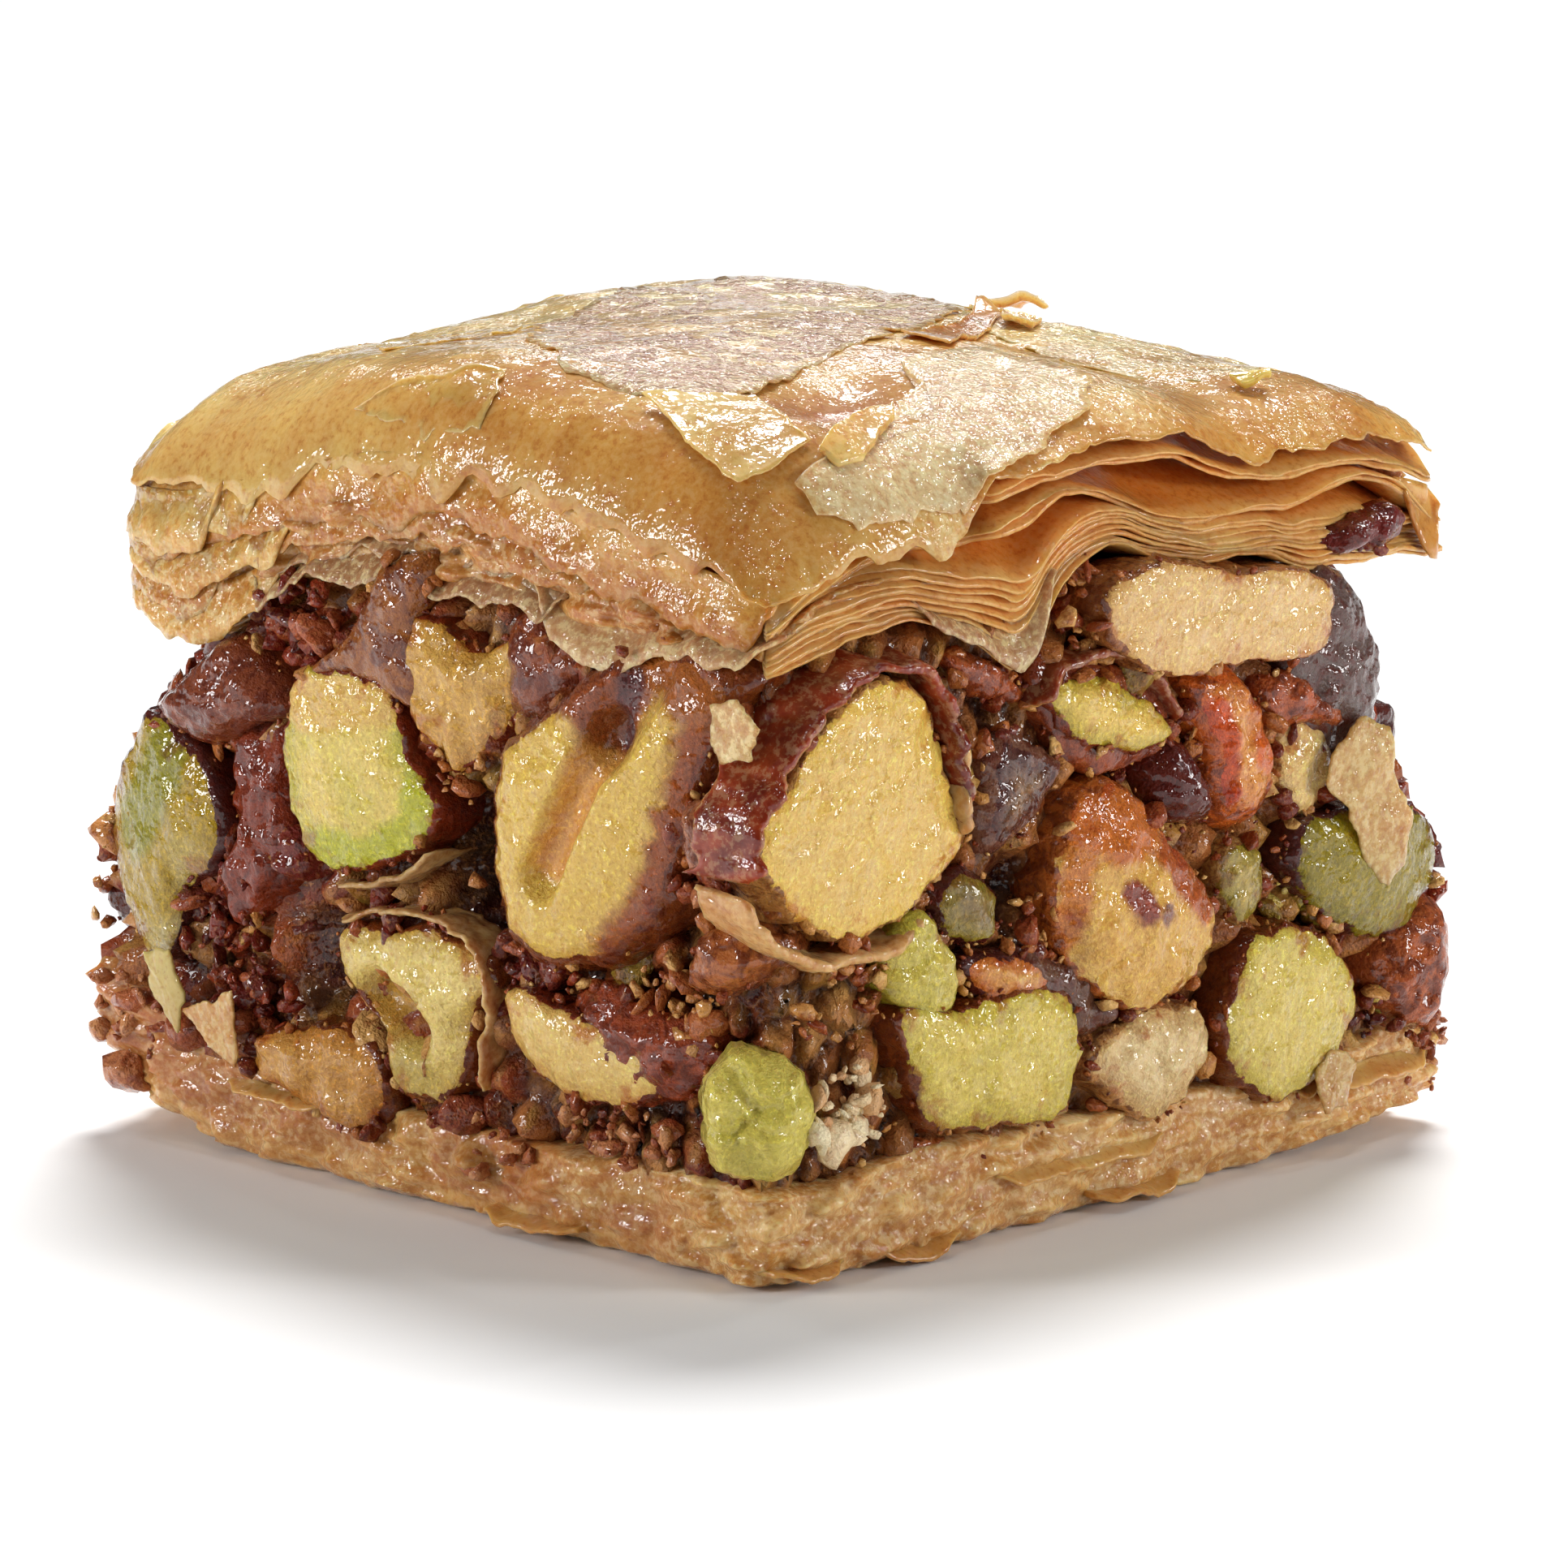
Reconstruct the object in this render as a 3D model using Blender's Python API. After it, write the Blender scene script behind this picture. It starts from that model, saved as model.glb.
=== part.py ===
"""A square piece of baklava: a leafy pastry lid and a leafy pastry base, with a thick layer of
chopped pistachios between them.

Frame: +Z up, the piece stands on z = 0, and the origin is under the middle of its outer box.
The two faces that the knife left tidiest are the front, -Y, and the right, +X.
Every solid starts as a unit box with a fine grid on it, which its own shape then bends: u and v
run over the square plan from -1 to 1, and t runs up the solid from 0 to 1.
"""

import math

import bmesh
import bpy
from mathutils import Vector, noise

MM = 0.001

# Driving dimensions.
SIDE = 46.0 * MM  # the square that the piece was cut to
BASE_THICKNESS = 4.6 * MM
FILLING_TOP = 28.6 * MM  # height of the nuts where they hold the lid
LID_UNDERSIDE = 29.2 * MM  # height of the lid's lower face in the middle
GAP = 0.35 * MM  # between two solids that touch

HALF = SIDE / 2

# The four corners of the plan, as signs of u and v.
NEAR = (1, -1)
LEFT = (-1, -1)
RIGHT = (1, 1)
BACK = (-1, 1)
CORNERS = (NEAR, LEFT, RIGHT, BACK)

# Heights of the lid's rim along each side, as (place, height) in millimetres. Places run along x on
# the front and back, along y on the right and left.
FRONT_TOP = (
    (-23, 30.0), (-16, 30.3), (-12, 31.4), (-8, 32.6), (-3, 33.9),
    (2, 34.3), (7, 33.6), (13, 32.4), (19.5, 31.0), (23, 30.0),
)
RIGHT_TOP = (
    (-23, 30.0), (-20, 31.9), (-16, 33.5), (-13, 33.9), (-9, 34.5), (-4, 35.2), (0.5, 35.3),
    (4, 35.0), (6.5, 34.1), (10, 33.2), (13, 33.4), (17, 33.3), (21.5, 32.2), (23, 31.6),
)
BACK_TOP = (
    (-23, 34.2), (-19, 35.4), (-15, 35.8), (-9, 35.4), (-2, 35.0),
    (4, 34.8), (10.5, 34.6), (17, 34.2), (20, 33.4), (23, 31.6),
)
LEFT_TOP = (
    (-23, 30.0), (-20.5, 31.2), (-17.5, 33.0), (-14.5, 34.0), (-11, 34.8), (-5, 35.3),
    (2, 35.7), (8, 36.3), (15, 36.0), (21.5, 34.9), (23, 34.2),
)
FRONT_UNDER = (
    (-23, 26.2), (-20, 25.8), (-16, 24.5), (-15, 24.6), (-11.5, 26.0), (-9, 27.3), (-6.5, 28.1),
    (-3.5, 29.2), (0, 29.5), (2, 28.8), (7, 29.2), (9, 28.7), (11.5, 27.2), (13, 27.0),
    (17, 28.1), (19, 28.5), (21, 28.3), (23, 27.8),
)
RIGHT_UNDER = (
    (-23, 27.8), (-18, 28.7), (-14, 29.2), (-10.5, 28.2), (-8.5, 26.8), (-6.5, 25.9), (-5, 29.2),
    (-3, 30.6), (0, 31.0), (2.5, 29.9), (6, 29.2), (10, 29.2), (12, 28.4), (17, 27.9), (23, 27.5),
)
BACK_UNDER = (
    (-23, 28.6), (-17, 29.6), (-11, 27.6), (-5, 28.8), (2, 29.6), (7, 28.4), (12, 28.0),
    (18, 28.9), (23, 27.5),
)
LEFT_UNDER = (
    (-23, 26.2), (-19, 26.4), (-14, 28.0), (-8, 29.0), (-2, 27.7), (4, 28.9), (11, 29.8),
    (17, 28.7), (23, 28.6),
)
TOP_LINES = (FRONT_TOP, RIGHT_TOP, BACK_TOP, LEFT_TOP)
UNDER_LINES = (FRONT_UNDER, RIGHT_UNDER, BACK_UNDER, LEFT_UNDER)

# How far the plan's corners are drawn in along both sides, as a share of the half side.
BASE_DRAW = {NEAR: 0.03, LEFT: 0.015, RIGHT: 0.02, BACK: 0.03}
LID_DRAW = {NEAR: 0.02, LEFT: 0.085, RIGHT: 0.02, BACK: 0.04}
LOW_FILLING_DRAW = {NEAR: 0.03, LEFT: 0.02, RIGHT: -0.02, BACK: 0.03}
HIGH_FILLING_DRAW = {NEAR: 0.04, LEFT: 0.17, RIGHT: 0.16, BACK: 0.07}
CORNER_SHARPNESS = 4

# Grid of each solid: cells along a side of its plan, and rows up its sides.
CELLS = 20
BASE_ROWS = 5
FILLING_ROWS = 10
LID_ROWS = 8

# Looks of the solids: colour and roughness.
PASTRY_LOOK = ((0.72, 0.43, 0.16, 1.0), 0.3)
SOAKED_PASTRY_LOOK = ((0.62, 0.36, 0.15, 1.0), 0.35)
NUT_LOOK = ((0.42, 0.30, 0.10, 1.0), 0.4)


def smooth(value):
    """A step from 0 to 1 with soft ends."""
    value = min(max(value, 0.0), 1.0)
    return value * value * (3 - 2 * value)


def hump(value, centre, reach):
    """A soft hump of height 1 along a line."""
    return math.exp(-(((value - centre) / reach) ** 2))


def corner_weight(u, v, corner, sharpness=1.0):
    """1 at one corner of the plan, fading to 0 at the two sides across from it."""
    return ((1 + corner[0] * u) * (1 + corner[1] * v) / 4) ** sharpness


def over_corners(values, u, v, sharpness=1.0):
    """Sum of one value for each corner, each weighted by its nearness."""
    return sum(values[corner] * corner_weight(u, v, corner, sharpness) for corner in CORNERS)


def rim_weight(side, reach):
    """1 where side is 1, 0 where it is further in than reach."""
    return smooth(1 - (1 - side) / reach)


def lumps(x, y, z, size, seed):
    """Uneven swelling between about -1 and 1, with lumps of this size."""
    return 1.6 * noise.noise(Vector((x / size + seed, y / size, z / size)))


def base_top(u, v):
    """Upper face of the pastry base, which climbs at the left corner."""
    rise = 3.6 * corner_weight(u, v, LEFT, 7) + 1.3 * corner_weight(u, v, RIGHT, 9)
    return BASE_THICKNESS + (rise + 0.5 * lumps(u, v, 0, 0.35, 3)) * MM


def base_under(u, v):
    """Lower face of the base: flat, and curling up at its rim and corners."""
    rim = 0.15 * rim_weight(max(abs(u), abs(v)), 0.12)
    tips = {NEAR: 0.2, LEFT: 2.6, RIGHT: 1.1, BACK: 0.9}
    return (rim + over_corners(tips, u, v, 9)) * MM


def height_along(line, place):
    """Height of a rim line at this place, from -1 to 1 along its side."""
    place = place * 23
    for (start, low), (end, high) in zip(line, line[1:]):
        if place <= end:
            share = (place - start) / (end - start)
            return (low + (high - low) * share) * MM
    return line[-1][1] * MM


def rim_surface(u, v, lines):
    """A surface over the plan that meets the four sides' lines: front, right, back, left."""
    front, right, back, left = lines
    a = (u + 1) / 2
    b = (v + 1) / 2
    across = (1 - b) * height_along(front, u) + b * height_along(back, u)
    along = (1 - a) * height_along(left, v) + a * height_along(right, v)
    corners = (1 - a) * (1 - b) * height_along(front, -1) + a * (1 - b) * height_along(front, 1)
    corners += (1 - a) * b * height_along(back, -1) + a * b * height_along(back, 1)
    return across + along - corners


def lid_under(u, v):
    """Lower face of the lid, which sags over the nuts along its edges."""
    rim = rim_weight(max(abs(u), abs(v)), 0.45)
    level = LID_UNDERSIDE + rim * (rim_surface(u, v, UNDER_LINES) - LID_UNDERSIDE)
    return level + 0.15 * MM * lumps(u, v, 0, 0.3, 11)


def lid_top(u, v):
    """Upper face of the lid: a low dome whose rim droops at the tips."""
    inside = 1 - rim_weight(max(abs(u), abs(v)), 0.2)
    return rim_surface(u, v, TOP_LINES) + inside * 0.3 * MM * lumps(u, v, 0, 0.45, 23)


def filling_top(u, v):
    """Upper face of the nuts: against the lid, except where they fall away at the corners."""
    falls = {NEAR: 0.5 * MM, LEFT: 5.5 * MM, RIGHT: 3.5 * MM, BACK: 2.0 * MM}
    rim = 0.9 * MM * rim_weight(max(abs(u), abs(v)), 0.14)
    heap = FILLING_TOP - over_corners(falls, u, v, 4) - rim + 0.5 * MM * lumps(u, v, 0, 0.22, 31)
    return min(heap, lid_under(u, v) - GAP)


def filling_under(u, v):
    """The nuts lie on the base."""
    return base_top(u, v) + GAP


def base_bulge(x, y, t):
    """How far the base's side stands out at this share of its height."""
    belly = 0.6 * math.sin(math.pi * (0.3 + 0.6 * t)) - 0.6
    return (belly + 0.35 * lumps(x, y, 2 * t * MM, 4 * MM, 41)) * MM


def filling_bulge(x, y, t):
    """Cut nuts of about 9 mm make the filling's side lumpy."""
    z = t * (FILLING_TOP - BASE_THICKNESS)
    belly = 0.9 * math.sin(math.pi * t) - 0.4
    return (belly + 0.9 * lumps(x, y, z, 6 * MM, 53)) * MM


def lid_bulge(x, y, t):
    """The lid's side: uneven leaf ends, with a split under the upper leaves at the right corner."""
    right = smooth((y / HALF + 0.1) / 0.7) * smooth((x / HALF - 0.55) / 0.4)
    back = smooth((x / HALF + 0.1) / 0.7) * smooth((y / HALF - 0.55) / 0.4)
    split = (2.4 * max(right, back) + 0.3) * hump(t, 0.75, 0.1)
    rounding = 0.9 * (max(t - 0.75, 0) / 0.25) ** 2
    return (0.4 * lumps(x, y, 9 * t * MM, 3.5 * MM, 67) - split - rounding) * MM


def even_draw(draws):
    """The same drawn-in corners all the way up."""
    return lambda u, v, t: over_corners(draws, u, v)


def filling_draw(u, v, t):
    """The nuts fill the corners low down and leave them further up."""
    high = smooth((t - 0.45) / 0.4)
    low_draw = over_corners(LOW_FILLING_DRAW, u, v)
    return low_draw + high * (over_corners(HIGH_FILLING_DRAW, u, v) - low_draw)


def unit_box(rows):
    """A closed box with u and v from -1 to 1 and t from 0 to 1, gridded on every face."""
    box = bmesh.new()
    bmesh.ops.create_grid(box, x_segments=CELLS, y_segments=CELLS, size=1.0)
    for vert in box.verts:
        vert.co.z = 1.0
    rim = [edge for edge in box.edges if edge.is_boundary]
    for _ in range(rows):
        made = bmesh.ops.extrude_edge_only(box, edges=rim)["geom"]
        row = [item for item in made if isinstance(item, bmesh.types.BMVert)]
        bmesh.ops.translate(box, verts=row, vec=(0, 0, -1.0 / rows))
        rim = [item for item in made if isinstance(item, bmesh.types.BMEdge) and item.is_boundary]
    bmesh.ops.create_grid(box, x_segments=CELLS, y_segments=CELLS, size=1.0)
    bmesh.ops.remove_doubles(box, verts=box.verts, dist=1e-4)
    bmesh.ops.recalc_face_normals(box, faces=box.faces)
    return box


def look_material(name, look):
    """A plain glossy material of its own for one solid."""
    colour, roughness = look
    material = bpy.data.materials.new(name)
    material.use_nodes = True
    shader = material.node_tree.nodes["Principled BSDF"]
    shader.inputs["Base Color"].default_value = colour
    shader.inputs["Roughness"].default_value = roughness
    return material


def on_side(share):
    """Sign of a plan coordinate on the plan's outline, 0 inside it."""
    return math.copysign(1, share) if abs(share) > 1 - 1e-4 else 0


def shaped_solid(name, rows, half, faces, draw, bulge, look):
    """Bends a unit box between two faces, with a side that stands out as bulge says."""
    under, top = faces
    box = unit_box(rows)
    for vert in box.verts:
        u, v, t = vert.co
        width = half * (1 - draw(u, v, t) * (u * u * v * v) ** CORNER_SHARPNESS)
        x = width * u
        y = width * v
        outward = Vector((on_side(u), on_side(v))).normalized()
        if outward.length:
            x, y = Vector((x, y)) + outward * bulge(x, y, t)
        low = under(u, v)
        vert.co = (x, y, low + (top(u, v) - low) * t)
    mesh = bpy.data.meshes.new(name)
    box.to_mesh(mesh)
    box.free()
    mesh.shade_smooth()
    mesh.materials.append(look_material(name + "_look", look))
    solid = bpy.data.objects.new(name, mesh)
    bpy.context.scene.collection.objects.link(solid)
    return solid


def pastry_base():
    return shaped_solid(
        "pastry_base", BASE_ROWS, HALF + 0.5 * MM,
        (base_under, base_top), even_draw(BASE_DRAW), base_bulge, SOAKED_PASTRY_LOOK,
    )


def nut_filling():
    return shaped_solid(
        "nut_filling", FILLING_ROWS, HALF - 0.3 * MM,
        (filling_under, filling_top), filling_draw, filling_bulge, NUT_LOOK,
    )


def pastry_lid():
    return shaped_solid(
        "pastry_lid", LID_ROWS, HALF,
        (lid_under, lid_top), even_draw(LID_DRAW), lid_bulge, PASTRY_LOOK,
    )


def stand_on_origin(solids):
    """Moves the piece so that the origin is under the middle of its outer box."""
    points = [vert.co for solid in solids for vert in solid.data.vertices]
    low = Vector(map(min, zip(*points)))
    high = Vector(map(max, zip(*points)))
    shift = Vector(((low.x + high.x) / 2, (low.y + high.y) / 2, low.z))
    for solid in solids:
        for vert in solid.data.vertices:
            vert.co -= shift


def main():
    for old in list(bpy.data.objects):
        bpy.data.objects.remove(old)
    stand_on_origin((pastry_base(), nut_filling(), pastry_lid()))


main()
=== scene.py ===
"""Looks of a square piece of baklava: syrup-glazed pastry leaves over and under chopped pistachios.

All lengths here are millimetres until put_mesh turns them into metres. The piece stands on z = 0,
the front face looks along -Y and the right face along +X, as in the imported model.
"""

import math

import bmesh
import bpy
import numpy as np
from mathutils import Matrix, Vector


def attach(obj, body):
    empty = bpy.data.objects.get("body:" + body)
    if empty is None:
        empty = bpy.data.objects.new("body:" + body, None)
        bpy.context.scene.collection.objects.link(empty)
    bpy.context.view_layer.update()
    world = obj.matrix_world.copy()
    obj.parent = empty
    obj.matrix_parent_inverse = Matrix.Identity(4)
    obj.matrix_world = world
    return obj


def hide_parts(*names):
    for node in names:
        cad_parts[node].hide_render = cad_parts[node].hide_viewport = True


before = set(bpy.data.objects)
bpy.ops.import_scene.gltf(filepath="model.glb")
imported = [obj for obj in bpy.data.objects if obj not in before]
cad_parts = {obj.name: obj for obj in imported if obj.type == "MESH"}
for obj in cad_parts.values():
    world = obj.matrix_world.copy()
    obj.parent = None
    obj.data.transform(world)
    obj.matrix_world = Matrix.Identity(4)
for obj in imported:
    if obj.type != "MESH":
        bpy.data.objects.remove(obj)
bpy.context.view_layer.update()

MM = 0.001
HALF = 23.0

# ---------------------------------------------------------------- noise and small helpers


def smooth(value):
    """A step from 0 to 1 with soft ends."""
    value = np.clip(value, 0.0, 1.0)
    return value * value * (3 - 2 * value)


def line(x, points, blur=0.9):
    """A value that follows the given (place, value) points, with its corners rounded."""
    places, heights = zip(*points)
    shifts = (-1, -0.5, 0, 0.5, 1)
    return sum(np.interp(x + shift * blur, places, heights) for shift in shifts) / len(shifts)


def blend(share, first, second):
    """Mixes two colours for each point."""
    share = np.asarray(share, dtype=float)[..., None]
    return np.asarray(first) * (1 - share) + np.asarray(second) * share


def scrambled(ix, iy, iz, seed):
    """One repeatable 32-bit number for each cell of a 3-D lattice."""
    code = ix * np.uint32(0x27D4EB2D) ^ iy * np.uint32(0x165667B1) ^ iz * np.uint32(0x9E3779B1)
    code = code ^ np.uint32((seed * 0x85EBCA6B) & 0xFFFFFFFF)
    code = (code ^ (code >> np.uint32(15))) * np.uint32(0x2C1B3C6D)
    code = (code ^ (code >> np.uint32(12))) * np.uint32(0x297A2D39)
    return code ^ (code >> np.uint32(15))


def lattice(x, y, z, size):
    """The lattice cell of each point, and its place measured in cells."""
    places = np.broadcast_arrays(*(np.asarray(v, dtype=np.float64) / size for v in (x, y, z)))
    return places, [np.floor(place) for place in places]


def noise(x, y, z=0.0, size=1.0, seed=0):
    """Smooth unevenness between about -1 and 1, with features of this size."""
    places, cells_at = lattice(x, y, z, size)
    inside = [place - cell for place, cell in zip(places, cells_at)]
    whole = [cell.astype(np.int64).astype(np.uint32) for cell in cells_at]
    fades = [part**3 * (part * (part * 6 - 15) + 10) for part in inside]
    total = 0.0
    for corner in range(8):
        step = (corner & 1, corner >> 1 & 1, corner >> 2 & 1)
        code = scrambled(*(cell + np.uint32(s) for cell, s in zip(whole, step)), seed)
        dot = 0.0
        weight = 1.0
        for axis in range(3):
            slope = (code >> np.uint32(10 * axis) & np.uint32(1023)) / 511.5 - 1
            dot = dot + slope * (inside[axis] - step[axis])
            weight = weight * (fades[axis] if step[axis] else 1 - fades[axis])
        total = total + dot * weight
    return total * 1.3


def rough(x, y, z=0.0, size=1.0, seed=0, octaves=3):
    """Noise with finer and finer noise on it."""
    total = 0.0
    for octave in range(octaves):
        share = 0.5**octave
        total = total + share * noise(x, y, z, size * share, seed + 17 * octave)
    return total


def chunks(x, y, z, size, seed):
    """Splits space into uneven chunks: depth inside a chunk, 0 at its border, and its number."""
    places, cells_at = lattice(x, y, z, size)
    nearest = np.full(places[0].shape, 9.0)
    second = nearest.copy()
    number = np.zeros(nearest.shape, dtype=np.uint32)
    for step in range(27):
        shifted = [cell + (step // 3**axis) % 3 - 1 for axis, cell in enumerate(cells_at)]
        code = scrambled(*(cell.astype(np.int64).astype(np.uint32) for cell in shifted), seed)
        squares = 0.0
        for axis in range(3):
            place = shifted[axis] + (code >> np.uint32(10 * axis) & np.uint32(1023)) / 1023
            squares = squares + (places[axis] - place) ** 2
        distance = np.sqrt(squares)
        closer = distance < nearest
        second = np.where(closer, nearest, np.minimum(second, distance))
        number = np.where(closer, code, number)
        nearest = np.minimum(nearest, distance)
    return second - nearest, number


# ---------------------------------------------------------------- meshes


def put_mesh(name, points, faces, attributes):
    """One smooth-shaded mesh object from arrays, points in millimetres."""
    mesh = bpy.data.meshes.new(name)
    mesh.vertices.add(len(points))
    mesh.vertices.foreach_set("co", (np.asarray(points) * MM).astype(np.float32).ravel())
    corners, starts, at = [], [], 0
    for group in faces:
        group = np.asarray(group, dtype=np.int32)
        corners.append(group.ravel())
        starts.append(at + np.arange(len(group)) * group.shape[1])
        at += group.size
    corners, starts = np.concatenate(corners), np.concatenate(starts)
    mesh.loops.add(len(corners))
    mesh.loops.foreach_set("vertex_index", corners)
    mesh.polygons.add(len(starts))
    mesh.polygons.foreach_set("loop_start", starts.astype(np.int32))
    mesh.update(calc_edges=True)
    mesh.validate()
    for key, data in attributes.items():
        data = np.asarray(data, dtype=np.float32)
        if data.ndim == 2:
            layer = mesh.attributes.new(key, "FLOAT_COLOR", "POINT")
            data = np.concatenate([data, np.ones((len(data), 1), np.float32)], axis=1)
            layer.data.foreach_set("color", data.ravel())
        else:
            mesh.attributes.new(key, "FLOAT", "POINT").data.foreach_set("value", data)
    mesh.shade_smooth()
    piece = bpy.data.objects.new(name, mesh)
    bpy.context.scene.collection.objects.link(piece)
    return piece


def grid_faces(rows, columns, closed=False, flip=False):
    """Quads of a grid of points stored row by row; closed joins its last column to its first."""
    last = columns if closed else columns - 1
    row, column = np.meshgrid(np.arange(rows - 1), np.arange(last), indexing="ij")
    here = row * columns + column
    right = row * columns + (column + 1) % columns
    quads = np.stack([here, right, right + columns, here + columns], axis=-1).reshape(-1, 4)
    return quads[:, ::-1] if flip else quads


def end_fans(rows, columns):
    """Triangles that close a tube of rings to one point before it and one after it.

    The two points come after the rings' points, first end first.
    """
    ring = np.arange(columns)
    after = (ring + 1) % columns
    last = (rows - 1) * columns
    first_hub = np.full(columns, rows * columns)
    return np.concatenate([
        np.stack([after, ring, first_hub], axis=-1),
        np.stack([ring + last, after + last, first_hub + 1], axis=-1),
    ])


class Heap:
    """Gathers many solids of one kind into one mesh, with a value or colour for each point."""

    def __init__(self, name, **defaults):
        self.name = name
        self.defaults = defaults
        self.points, self.faces, self.count = [], {3: [], 4: []}, 0
        self.data = {key: [] for key in defaults}

    def add(self, points, faces, **values):
        points = np.asarray(points)
        self.points.append(points)
        for group in faces:
            self.faces[group.shape[1]].append(group + self.count)
        for key, default in self.defaults.items():
            value = np.asarray(values.get(key, default), dtype=float)
            shape = (len(points), 3) if np.ndim(default) else (len(points),)
            self.data[key].append(np.broadcast_to(value, shape))
        self.count += len(points)

    def build(self, material, node):
        if not self.count:
            return
        piece = put_mesh(
            self.name,
            np.concatenate(self.points),
            [np.concatenate(group) for group in self.faces.values() if group],
            {key: np.concatenate(parts) for key, parts in self.data.items()},
        )
        settle(piece, material, node)


def sheet(heap, points, thickness, **values):
    """A thin closed leaf over a grid of points (rows, columns, 3), of this thickness."""
    rows, columns = points.shape[:2]
    along = np.gradient(points, axis=0)
    across = np.gradient(points, axis=1)
    normal = np.cross(along, across)
    normal = normal / np.maximum(np.linalg.norm(normal, axis=2, keepdims=True), 1e-9)
    half = np.broadcast_to(np.asarray(thickness, dtype=float) / 2, (rows, columns))[..., None]
    upper = (points + normal * half).reshape(-1, 3)
    lower = (points - normal * half).reshape(-1, 3)
    total = rows * columns
    index = np.arange(total).reshape(rows, columns)
    rim = np.concatenate([index[0, :-1], index[:-1, -1], index[-1, :0:-1], index[:0:-1, 0]])
    after = np.roll(rim, -1)
    faces = [
        grid_faces(rows, columns, flip=True),
        grid_faces(rows, columns) + total,
        np.stack([rim, after, after + total, rim + total], axis=-1),
    ]
    doubled = {key: np.concatenate([value, value]) for key, value in values.items()
               if np.ndim(value) and len(value) == total}
    heap.add(np.concatenate([upper, lower]), faces, **{**values, **doubled})


def settle(piece, material, node):
    """Gives a piece its material and ties it to the model."""
    piece.data.materials.append(material)
    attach(piece, "root")
    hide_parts(node)


def srgb(red, green, blue):
    """A colour as seen on screen, 0 to 255, in linear light."""
    screen = np.array([red, green, blue]) / 255
    return tuple(np.where(screen <= 0.04045, screen / 12.92, ((screen + 0.055) / 1.055) ** 2.4))


# ---------------------------------------------------------------- where things are on the piece

SIDES = {
    "front": ((0, -HALF, 0), (1, 0, 0), (0, -1, 0)),
    "right": ((HALF, 0, 0), (0, 1, 0), (1, 0, 0)),
    "back": ((0, HALF, 0), (-1, 0, 0), (0, 1, 0)),
    "left": ((-HALF, 0, 0), (0, -1, 0), (-1, 0, 0)),
    "near": ((HALF, -HALF, 0), (0.7071, 0.7071, 0), (0.7071, -0.7071, 0)),
}


def on_side(side, along, up, out, drawn=False):
    """Points on a side face: along it from left to right as seen, up, and out of it.

    drawn follows the plan's drawn-in corners.
    """
    origin, right, outward = (np.array(vector, dtype=float) for vector in SIDES[side])
    along, up, out = (np.asarray(value, dtype=float)[..., None] for value in (along, up, out))
    points = origin + along * right + up * np.array((0.0, 0.0, 1.0))
    if drawn:
        points[..., 0], points[..., 1] = drawn_in(points[..., 0] / HALF, points[..., 1] / HALF)
    return points + out * outward


# Heights along each side, as (place, height): places along x on front and back, along y on the
# right and left.
FRONT_TOP = (
    (-23, 30.0), (-16, 30.3), (-12, 31.4), (-8, 32.6), (-3, 33.9),
    (2, 34.3), (7, 33.6), (13, 32.4), (19.5, 31.0), (23, 30.0),
)
RIGHT_TOP = (
    (-23, 30.0), (-20, 31.9), (-16, 33.5), (-13, 33.9), (-9, 34.5), (-4, 35.2), (0.5, 35.3),
    (4, 35.0), (6.5, 34.1), (10, 33.2), (13, 33.4), (17, 33.3), (21.5, 32.2), (23, 31.6),
)
BACK_TOP = (
    (-23, 34.2), (-19, 35.4), (-15, 35.8), (-9, 35.4), (-2, 35.0),
    (4, 34.8), (10.5, 34.6), (17, 34.2), (20, 33.4), (23, 31.6),
)
LEFT_TOP = (
    (-23, 30.0), (-20.5, 31.2), (-17.5, 33.0), (-14.5, 34.0), (-11, 34.8), (-5, 35.3),
    (2, 35.7), (8, 36.3), (15, 36.0), (21.5, 34.9), (23, 34.2),
)
FRONT_UNDER = (
    (-23, 26.2), (-20, 25.8), (-16, 24.5), (-15, 24.6), (-11.5, 26.0), (-9, 27.3), (-6.5, 28.1),
    (-3.5, 29.2), (0, 29.5), (2, 28.8), (7, 29.2), (9, 28.7), (11.5, 27.2), (13, 27.0),
    (17, 28.1), (19, 28.5), (21, 28.3), (23, 27.8),
)
RIGHT_UNDER = (
    (-23, 27.8), (-18, 28.7), (-14, 29.2), (-10.5, 28.2), (-8.5, 26.8), (-6.5, 25.9), (-5, 29.2),
    (-3, 30.6), (0, 31.0), (2.5, 29.9), (6, 29.2), (10, 29.2), (12, 28.4), (17, 27.9), (23, 27.5),
)
BACK_UNDER = (
    (-23, 28.6), (-17, 29.6), (-11, 27.6), (-5, 28.8), (2, 29.6), (7, 28.4), (12, 28.0),
    (18, 28.9), (23, 27.5),
)
LEFT_UNDER = (
    (-23, 26.2), (-19, 26.4), (-14, 28.0), (-8, 29.0), (-2, 27.7), (4, 28.9), (11, 29.8),
    (17, 28.7), (23, 28.6),
)
# How far the top leaf folds down over the right side, near the front corner.
CORNER_FOLD = ((-23, 0.2), (-20, 1.3), (-16, 2.4), (-12, 2.9), (-9.2, 2.7), (-8.4, 0.0), (23, 0.0))
# How far it folds down over the front.
FRONT_FOLD = ((-23, 0.1), (-18, 0.6), (-14, 0.4), (-8, 1.2), (-3, 2.2), (4, 1.4), (9, 0.9), (23, 0.1))
TOP_LINES = (FRONT_TOP, RIGHT_TOP, BACK_TOP, LEFT_TOP)
UNDER_LINES = (FRONT_UNDER, RIGHT_UNDER, BACK_UNDER, LEFT_UNDER)


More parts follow.
